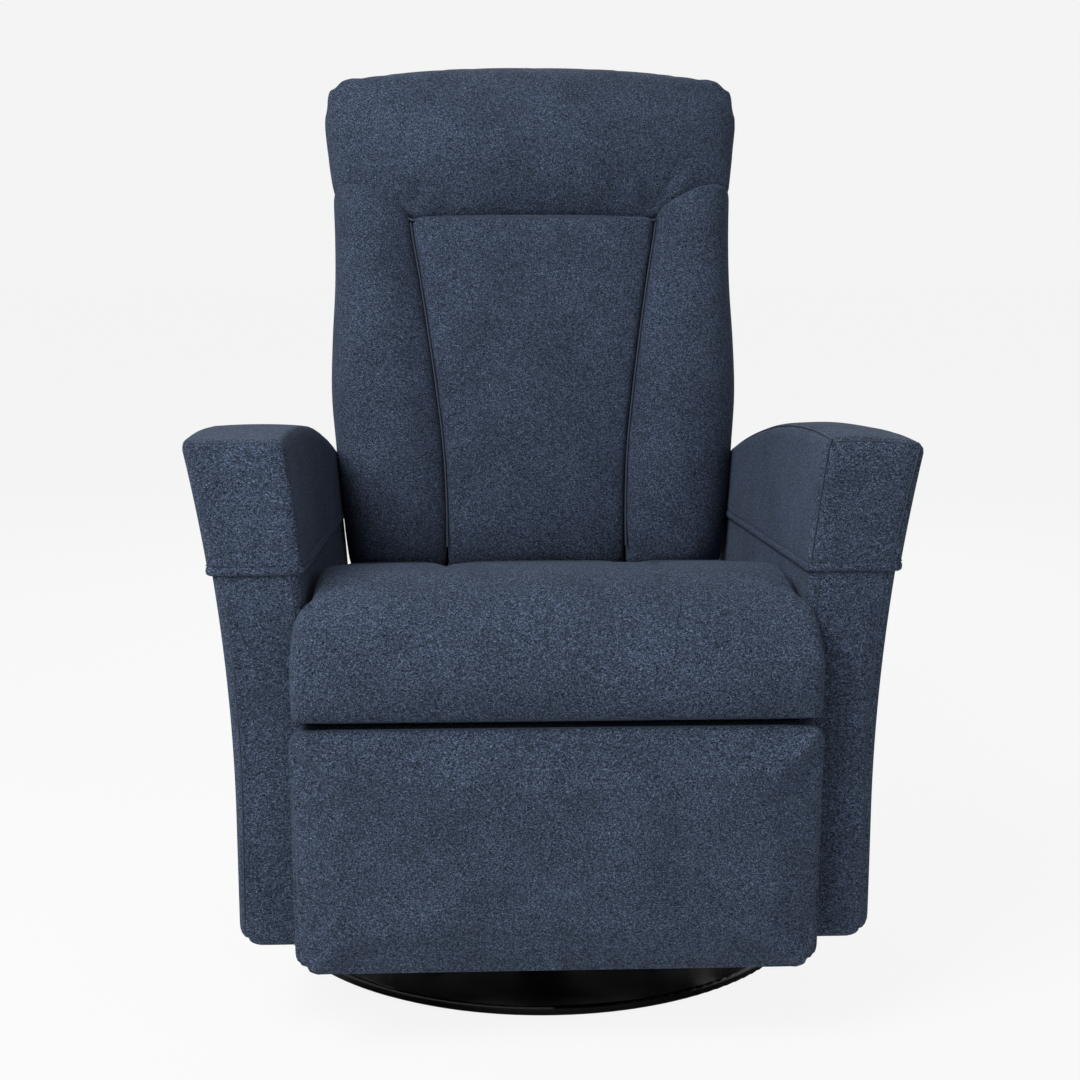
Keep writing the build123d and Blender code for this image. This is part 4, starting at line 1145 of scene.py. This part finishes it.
@dataclass
class Footrest:
    """The padded leg panel: a boxed border with a crowned pad sewn over its front."""

    finishes: Finishes
    box_back: float = -0.3868
    box_front: float = -0.4125
    box_top: float = 0.3555
    box_bottom: float = 0.0995
    box_halves: tuple[float, float] = (0.2745, 0.2765)
    box_corners: tuple[tuple[float, float], ...] = ((0.012, 0.016), (0.018, 0.018))
    pad_front: float = -0.4345
    pad_top: float = 0.3590
    pad_bottom: float = 0.0945
    pad_halves: tuple[float, float] = (0.2695, 0.2765)
    pad_corners: tuple[tuple[float, float], ...] = ((0.019, 0.026), (0.014, 0.014))
    box_edge: float = 0.005
    pad_edge: float = 0.010
    swell_room: float = 0.004
    welt_radius: float = 0.0016

    def outline(
        self,
        p: Vector,
        halves: tuple[float, float],
        ends: tuple[float, float],
        corners: tuple[tuple[float, float], ...],
    ) -> tuple[float, float]:
        """X and Z of a unit-cube point inside the tapered outline with round corners.

        Args:
            p: The point.
            halves: Half widths at the bottom and the top.
            ends: Heights of the lower and the upper edge.
            corners: Width and height of the rounding at the bottom and the top.

        Returns:
            X and Z.
        """
        half_x, half_z = sum(halves) / 2, (ends[1] - ends[0]) / 2
        wide, tall = corners[0] if p.z < 0 else corners[1]
        x, z = p.x * half_x, p.z * half_z
        over_x, over_z = (abs(x) - half_x) / wide + 1, (abs(z) - half_z) / tall + 1
        if over_x > 0 and over_z > 0:
            pull = corner_pull(over_x, over_z)
            x = math.copysign(half_x - wide * (1 - over_x * pull), x)
            z = math.copysign(half_z - tall * (1 - over_z * pull), z)
        share = (z / half_z + 1) / 2
        return x * between(*halves, share) / half_x, between(*ends, share)

    def box_outline(self, p: Vector) -> tuple[float, float]:
        """X and Z on the boxed border."""
        return self.outline(p, self.box_halves, (self.box_bottom, self.box_top), self.box_corners)

    def pad_outline(self, p: Vector) -> tuple[float, float]:
        """X and Z on the pad."""
        return self.outline(p, self.pad_halves, (self.pad_bottom, self.pad_top), self.pad_corners)

    def box_place(self, p: Vector) -> Vector:
        """Place of a unit-cube point on the boxed border."""
        x, z = self.box_outline(p)
        return Vector((x, between(self.box_front, self.box_back, (p.y + 1) / 2), z))

    def pad_place(self, p: Vector) -> Vector:
        """Place of a unit-cube point on the pad, before it swells."""
        x, z = self.pad_outline(p)
        front = self.pad_front + self.swell_room
        return Vector((x, between(front, self.box_front + 0.0003, (p.y + 1) / 2), z))

    def held(self, spot: Vector) -> float:
        """The pad is sewn to the border round its back edge."""
        return ease(self.box_front - 0.010, self.box_front - 0.003, spot.y)

    def build(self) -> None:
        """Make the border, the pad and their seams."""
        blank = soft_block((96, 8, 48), (0.2635, 0.0128, 0.128), self.box_edge, self.box_place)
        border = new_piece(blank, "footrest_border", self.finishes.cloth)
        blank = soft_block((110, 8, 54), (0.26, 0.0105, 0.131), self.pad_edge, self.pad_place)
        pad = new_piece(blank, "footrest_pad_cover", self.finishes.cloth)
        puff(pad, self.held, voxel=0.005, cap=0.012)
        rim = [Vector((a, self.box_front - 0.001, b)) for a, b in self.rim_points()]
        line = surface_line(pad, rim, 0.003, True)
        welt = seam_tube("footrest_pad_welt", line, self.welt_radius, self.finishes.thread, 0.0002, True)
        mount(border, Body.FOOTREST, ("footrest_box",))
        mount(pad, Body.FOOTREST, ("footrest_pad",))
        mount(welt, Body.FOOTREST)

    def rim_points(self) -> list[tuple[float, float]]:
        """Points round the pad's edge in the front view."""
        turns = 72
        points = []
        for i in range(turns):
            angle = 2 * math.pi * i / turns
            reach = 1 / max(abs(math.cos(angle)), abs(math.sin(angle)))
            unit = Vector((math.cos(angle) * reach, 0.0, math.sin(angle) * reach))
            points.append(self.pad_outline(unit))
        return points


# Back


@dataclass(frozen=True)
class BackLine:
    """The leaning line that the back is measured along."""

    foot_y: float = 0.207
    foot_z: float = 0.415
    lean: float = math.radians(15.0)

    def point(self, x: float, along: float, depth: float) -> Vector:
        """World place of a point.

        Args:
            x: Distance to the sitter's left.
            along: Distance up the back.
            depth: Distance behind the line.

        Returns:
            The point.
        """
        return Vector(
            (
                x,
                self.foot_y + along * math.sin(self.lean) + depth * math.cos(self.lean),
                self.foot_z + along * math.cos(self.lean) - depth * math.sin(self.lean),
            )
        )

    def measure(self, spot: Vector) -> tuple[float, float, float]:
        """X, distance up the back and depth of a world point."""
        y, z = spot.y - self.foot_y, spot.z - self.foot_z
        along = y * math.sin(self.lean) + z * math.cos(self.lean)
        depth = y * math.cos(self.lean) - z * math.sin(self.lean)
        return spot.x, along, depth


@dataclass
class Back:
    """The leaning back: centre panel, two bolsters, the sewn-on head cushion and the rear cover."""

    finishes: Finishes
    line: BackLine = BackLine()
    foot: float = -0.014
    foot_rear: float = 0.006
    panel_end: float = 0.462
    bolster_end: float = 0.49
    tuck: float = 0.014
    seam_gap: float = 0.0006
    rest_gap: float = 0.0004
    crown_share: float = 0.52
    edge: float = 0.012
    panel_room: float = 0.004
    bolster_room: float = 0.006
    frame_side: tuple[float, float] = (0.190, 0.196)
    panel_welt: float = 0.0014
    seam: Profile = Profile(
        (
            *((0.004, 0.1180), (0.078, 0.1185), (0.152, 0.1225), (0.226, 0.1310)),
            *((0.300, 0.1410), (0.374, 0.1520), (0.447, 0.1640), (0.520, 0.1720)),
        )
    )
    half: Profile = Profile(
        (
            *((-0.014, 0.2480), (0.040, 0.2548), (0.060, 0.2568), (0.083, 0.2604)),
            *((0.110, 0.2632), (0.152, 0.2662), (0.226, 0.2725), (0.300, 0.2715)),
            *((0.374, 0.2680), (0.447, 0.2685), (0.520, 0.2720)),
        )
    )
    seam_depth: float = -0.078
    panel_depth: float = -0.096
    bolster_depth: float = -0.106
    foot_reach: float = 0.085
    foot_drop: float = 0.034
    bolster_edge: float = -0.030
    bolster_rear: float = 0.0262
    head_rear: float = 0.0262
    shell_foot: float = -0.020
    shell_top: float = 0.646
    shell_front: float = 0.0266
    shell_rear: float = 0.0385
    shell_crown: float = 0.009
    shell_edge: float = 0.005
    shell_corner: tuple[float, float] = (0.220, 0.600)
    shell_half: Profile = Profile(
        ((-0.020, 0.236), (0.200, 0.250), (0.440, 0.260), (0.600, 0.271), (0.645, 0.262))
    )
    head_level: float = 0.454
    head_raised: float = 0.491
    head_turn: float = 0.164
    head_turn_width: float = 0.095
    head_peak: float = 0.684
    head_sag: float = 0.011
    head_corner: float = 0.026
    head_edge: float = 0.024
    head_room: float = 0.008
    head_welt: float = 0.0020
    head_seam: tuple[float, float] = (-0.088, -0.040)
    creases: tuple[tuple[tuple[float, float], tuple[float, float], float], ...] = (
        ((0.166, 0.452), (0.150, 0.520), 0.0045),
        ((0.176, 0.458), (0.214, 0.530), 0.0035),
        ((0.120, 0.452), (0.112, 0.490), 0.0022),
    )
    head_half: Profile = Profile(
        ((0.447, 0.268), (0.490, 0.271), (0.560, 0.277), (0.610, 0.283), (0.636, 0.281), (0.700, 0.279))
    )
    head_crown: Profile = Profile(
        (
            *((0.456, -0.080), (0.475, -0.094), (0.500, -0.108), (0.530, -0.119)),
            *((0.560, -0.123), (0.590, -0.119), (0.630, -0.101), (0.690, -0.057)),
        )
    )
    head_side: Profile = Profile(
        ((0.447, -0.050), (0.490, -0.054), (0.560, -0.050), (0.620, -0.040), (0.655, -0.030), (0.690, -0.020))
    )

    def head_low(self, x: float) -> float:
        """Height of the head cushion's lower edge: level over the centre panel, higher at the sides."""
        turn = max(0.0, min(1.0, (abs(x) - self.head_turn) / self.head_turn_width))
        return between(self.head_level, self.head_raised, math.sin(math.pi / 2 * turn))

    def head_top(self, x: float) -> float:
        """Height of the head cushion's crowned upper edge."""
        return self.head_peak - self.head_sag * (abs(x) / 0.25) ** 2

    def panel_place(self, p: Vector) -> Vector:
        """Place of a unit-cube point on the centre panel, before it swells."""
        along = between(self.foot, self.panel_end, (p.z + 1) / 2)
        x = p.x * (self.seam.at(along) - self.seam_gap)
        full = self.panel_depth + self.panel_room
        front = between(self.seam_depth, full, max(0.0, 1 - p.x**2) ** 0.6)
        front += fall(along - self.foot, self.foot_reach, self.foot_drop)
        return self.line.point(x, along, between(front, -self.rest_gap, (p.y + 1) / 2))

    def panel_held(self, spot: Vector) -> float:
        """The panel rests on its springs and is sewn in along both seams."""
        x, along, depth = self.line.measure(spot)
        return max(
            ease(-0.03, -0.012, depth),
            0.9 * ease(self.seam.at(along) - 0.016, self.seam.at(along) - 0.003, abs(x)),
            ease(0.44, 0.455, along),
        )

    def bolster_place(self, p: Vector, side: Side) -> Vector:
        """Place of a unit-cube point on a bolster, before it swells."""
        share = (p.x + 1) / 2
        foot = between(self.foot, self.foot_rear, (p.y + 1) / 2)
        rough = between(foot, self.bolster_end, (p.z + 1) / 2)
        x = between(self.seam.at(rough) + self.seam_gap, self.half.at(rough), share)
        along = between(foot, self.head_low(x) + self.tuck, (p.z + 1) / 2)
        x = between(self.seam.at(along) + self.seam_gap, self.half.at(along), share)
        full = self.bolster_depth + self.bolster_room
        if share < self.crown_share:
            rise = math.sin(math.pi * share / (2 * self.crown_share)) ** 0.75
            front = between(self.seam_depth, full, rise)
        else:
            outer = max(0.0, 1 - ((share - self.crown_share) / (1 - self.crown_share)) ** 2.3) ** 0.5
            front = between(self.bolster_edge, full, outer)
        front += fall(along - self.foot, self.foot_reach, self.foot_drop)
        rear = between(-self.rest_gap, self.bolster_rear, ease(*self.frame_side, x))
        return self.line.point(side.value * x, along, between(front, rear, (p.y + 1) / 2))

    def bolster_held(self, spot: Vector) -> float:
        """A bolster rests on the frame, is sewn along its seam and tucked under the head cushion."""
        x, along, depth = self.line.measure(spot)
        return max(
            ease(-0.03, -0.010, depth),
            0.9 * ease(self.seam.at(along) + 0.016, self.seam.at(along) + 0.003, abs(x)),
            ease(self.head_low(x) - 0.008, self.head_low(x) + 0.006, along),
        )

    def head_place(self, p: Vector) -> Vector:
        """Place of a unit-cube point on the head cushion, before it swells."""
        share = (p.z + 1) / 2
        rough = between(0.46, 0.689, share)
        x = p.x * self.head_half.at(rough)
        along = between(self.head_low(x), self.head_top(x) - 0.004, share)
        corner_x = self.head_half.at(0.64) - self.head_corner
        corner_v = self.head_top(0.27) - self.head_corner
        over_x, over_v = abs(x) - corner_x, along - corner_v
        if over_x > 0 and over_v > 0:
            pull = corner_pull(over_x, over_v)
            x = math.copysign(corner_x + over_x * pull, x)
            along = corner_v + over_v * pull
        crown = max(0.0, 1 - abs(p.x) ** 2.4)
        front = between(self.head_side.at(along), self.head_crown.at(along) + self.head_room, crown)
        return self.line.point(x, along, between(front, self.head_rear - self.rest_gap, (p.y + 1) / 2))

    def head_held(self, spot: Vector) -> float:
        """The head cushion is sewn to the rear cover and along its lower seam."""
        x, along, depth = self.line.measure(spot)
        low = self.head_low(x)
        return max(ease(-0.002, 0.018, depth), 0.85 * ease(low + 0.012, low + 0.002, along))

    def build(self) -> None:
        """Make every cushion of the back with its seams, and the rear cover."""
        cloth = self.finishes.cloth
        blank = soft_block((34, 14, 60), (0.14, 0.045, 0.229), self.edge, self.panel_place)
        panel = new_piece(blank, "back_panel_cover", cloth)
        puff(panel, self.panel_held, cap=0.022)
        mount(panel, Body.BACK, ("back_centre_panel",))
        for side in Side:
            blank = soft_block(
                (24, 22, 66), (0.06, 0.06, 0.235), self.edge, lambda p, s=side: self.bolster_place(p, s)
            )
            bolster = new_piece(blank, f"back_bolster_cover_{side.word}", cloth)
            puff(bolster, self.bolster_held, cap=0.022)
            self.panel_seam(panel, side)
            mount(bolster, Body.BACK, (f"back_bolster_{side.word}",))
        self.head_cushion()
        self.rear_cover()

    def panel_seam(self, panel: bpy.types.Object, side: Side) -> None:
        """Welt between the centre panel and a bolster."""
        knots = []
        for i in range(40):
            along = between(self.foot + 0.03, 0.452, i / 39)
            spot = self.line.point(side.value * self.seam.at(along), along, self.seam_depth + 0.004)
            knots.append((spot, FORWARD))
        welt = seam_tube(f"back_panel_welt_{side.word}", knots, self.panel_welt, self.finishes.thread)
        mount(welt, Body.BACK)

    def head_cushion(self) -> None:
        """Make the head cushion, its lower welt and the creases that its seam pulls."""
        blank = soft_block((72, 24, 40), (0.27, 0.066, 0.118), self.head_edge, self.head_place)
        head = new_piece(blank, "head_cushion_cover", self.finishes.cloth)
        puff(head, self.head_held, cap=0.026)
        for side in Side:
            for start, end, depth in self.creases:
                shares = [i / 6 for i in range(7)]
                spots = [(between(start[0], end[0], k), between(start[1], end[1], k)) for k in shares]
                knots = [self.line.point(side.value * x, along, -0.12) for x, along in spots]
                line = surface_line(head, knots, 0.004)
                press(head, line[: len(line) // 2], depth * 0.5, 0.010)
                press(head, line, depth * 0.5, 0.012)
        across = [between(-0.25, 0.25, i / 40) for i in range(41)]
        knots = [self.line.point(x, self.head_low(x) + 0.001, self.head_seam_depth(x)) for x in across]
        line = [(knot, FORWARD) for knot in knots]
        welt = seam_tube("head_cushion_welt", line, self.head_welt, self.finishes.thread)
        mount(head, Body.BACK, ("head_cushion",))
        mount(welt, Body.BACK)

    def head_seam_depth(self, x: float) -> float:
        """Depth at which the head cushion's lower seam lies."""
        return between(*self.head_seam, (abs(x) / 0.25) ** 3)

    def rear_cover(self) -> None:
        """Make the upholstered shell that closes the back behind, with its stitched border."""

        def place(p: Vector) -> Vector:
            """Place of a unit-cube point on the shell, crowned to the rear."""
            along = between(self.shell_foot, self.shell_top, (p.z + 1) / 2)
            x = p.x * self.shell_half.at(along)
            over_x, over_v = abs(x) - self.shell_corner[0], along - self.shell_corner[1]
            if over_x > 0 and over_v > 0:
                pull = corner_pull(over_x, over_v)
                x = math.copysign(self.shell_corner[0] + over_x * pull, x)
                along = self.shell_corner[1] + over_v * pull
            rear = self.shell_rear + self.shell_crown * max(0.0, 1 - p.x**2)
            return self.line.point(x, along, between(self.shell_front, rear, (p.y + 1) / 2))

        blank = soft_block((60, 6, 80), (0.25, 0.008, 0.341), self.shell_edge, place)
        shell = new_piece(blank, "back_shell_cover", self.finishes.cloth)
        sewn = bmesh.new()
        for share in (-0.93, 0.93):
            runs = [between(-0.012, 0.59, i / 30) for i in range(31)]
            knots = [self.line.point(share * self.shell_half.at(v), v, 0.06) for v in runs]
            stitch_row(sewn, surface_line(shell, knots, STITCH_STEP))
        row = new_piece(sewn, "back_shell_topstitch", self.finishes.thread)
        mount(shell, Body.BACK, ("back_shell",))
        mount(row, Body.BACK)


# Hard parts


@dataclass
class Metalwork:
    """The CAD pieces that stay as they are and only get their finishes."""

    finishes: Finishes

    def dress(self) -> None:
        """Give each carried-over CAD piece its finish by its material slot."""
        by_slot = {
            "black_disc": self.finishes.disc,
            "frame_steel": self.finishes.frame,
            "bright_steel": self.finishes.bright,
            "bush_plastic": self.finishes.nylon,
            "timber": self.finishes.timber,
            "felt": self.finishes.felt,
            "upholstery_fabric": self.finishes.cloth,
        }
        owners = {row["node"]: row["material_slot"] for row in frame["record"]["subparts"]}
        for name, piece in frame["nodes"].items():
            material = by_slot[owners[name]]
            if not piece.material_slots:
                piece.data.materials.append(material)
            for slot in piece.material_slots:
                slot.material = material
            log.info("%s takes %s", name, material.name)


# Studio


@dataclass(frozen=True)
class Softbox:
    """One square lamp that faces the chair."""

    name: str
    spot: tuple[float, float, float]
    size: float
    watts: float
    aim: float = 0.5

    def hang(self) -> None:
        """Put the lamp into the scene."""
        light = bpy.data.lights.new(self.name, "AREA")
        light.size = self.size
        light.energy = self.watts
        lamp = bpy.data.objects.new(self.name, light)
        lamp.location = self.spot
        towards = Vector((0.0, 0.0, self.aim)) - Vector(self.spot)
        lamp.rotation_euler = towards.to_track_quat("-Z", "Y").to_euler()
        bpy.context.scene.collection.objects.link(lamp)


@dataclass
class Studio:
    """Pale floor, soft lamps and the camera."""

    backdrop: str = "f3f4f3"
    ambient: float = 0.16
    paper_glow: float = 1.06
    paper_share: float = 0.93
    floor_half: float = 30.0
    eye: tuple[float, float, float] = (-0.093, -2.2, 0.856)
    pitch: float = 9.65
    yaw: float = 2.38
    lens: float = 60.0
    sensor: float = 36.0
    lamps: tuple[Softbox, ...] = (
        Softbox("key_softbox", (-1.45, -1.8, 2.5), 1.5, 112.0),
        Softbox("fill_softbox", (1.9, -2.0, 1.3), 1.8, 12.0),
        Softbox("rear_softbox", (0.2, 2.4, 2.2), 2.0, 34.0),
    )

    def build(self) -> None:
        """Make the floor, the sky, the lamps and the camera."""
        self.sky()
        self.floor()
        for lamp in self.lamps:
            lamp.hang()
        self.camera()
        bpy.context.scene.view_settings.view_transform = "Standard"

    def seen(self, tree: bpy.types.NodeTree) -> bpy.types.NodeSocket:
        """One where a ray comes straight from the eye, a mirror or glass.

        Args:
            tree: Node tree of the sky or the floor.

        Returns:
            The factor's socket.
        """
        path = add_node(tree, "ShaderNodeLightPath")
        factor = path.outputs["Is Camera Ray"]
        for kind in ("Is Glossy Ray", "Is Transmission Ray"):
            factors = {0: factor, 1: path.outputs[kind]}
            factor = add_node(tree, "ShaderNodeMath", factors, operation="MAXIMUM").outputs[0]
        return factor

    def sky(self) -> None:
        """Pale backdrop to the eye and even grey light on the chair."""
        world = bpy.data.worlds.new("studio")
        bpy.context.scene.world = world
        world.use_nodes = True
        tree = world.node_tree
        tree.nodes.clear()
        light = add_node(
            tree, "ShaderNodeBackground", {"Color": (1.0, 1.0, 1.0, 1.0), "Strength": self.ambient}
        )
        pale = add_node(tree, "ShaderNodeBackground", {"Color": linear(self.backdrop), "Strength": 1.0})
        mix = add_node(
            tree, "ShaderNodeMixShader", {0: self.seen(tree), 1: light.outputs[0], 2: pale.outputs[0]}
        )
        add_node(tree, "ShaderNodeOutputWorld", {"Surface": mix.outputs[0]})

    def floor(self) -> None:
        """Pale seamless floor that keeps the chair's shadow."""
        bm = bmesh.new()
        bmesh.ops.create_grid(bm, x_segments=1, y_segments=1, size=self.floor_half)
        material, tree = new_material("matt_paper_floor")
        paper = add_node(tree, "ShaderNodeBsdfDiffuse", {"Color": linear(self.backdrop)})
        pale = add_node(
            tree, "ShaderNodeEmission", {"Color": linear(self.backdrop), "Strength": self.paper_glow}
        )
        path = add_node(tree, "ShaderNodeLightPath")
        factors = {0: path.outputs["Is Camera Ray"], 1: self.paper_share}
        share = add_node(tree, "ShaderNodeMath", factors, operation="MULTIPLY")
        mix = add_node(
            tree, "ShaderNodeMixShader", {0: share.outputs[0], 1: paper.outputs[0], 2: pale.outputs[0]}
        )
        add_node(tree, "ShaderNodeOutputMaterial", {"Surface": mix.outputs[0]})
        new_piece(bm, "studio_floor", material)

    def camera(self) -> None:
        """Set the camera where the photograph was taken."""
        lens = bpy.data.cameras.new("front_camera")
        lens.lens = self.lens
        lens.sensor_width = self.sensor
        eye = bpy.data.objects.new("front_camera", lens)
        eye.location = self.eye
        eye.rotation_euler = (math.radians(90 - self.pitch), 0.0, math.radians(-self.yaw))
        bpy.context.scene.collection.objects.link(eye)
        bpy.context.scene.camera = eye


def main() -> None:
    """Build the chair piece by piece and set it in the studio."""
    logging.basicConfig(level=logging.INFO, format="%(name)s: %(message)s")
    finishes = Finishes()
    for side in Side:
        Arm(side, finishes).build()
    Seat(finishes).build()
    Footrest(finishes).build()
    Back(finishes).build()
    Metalwork(finishes).dress()
    Studio().build()


if __name__ == "__main__":
    main()
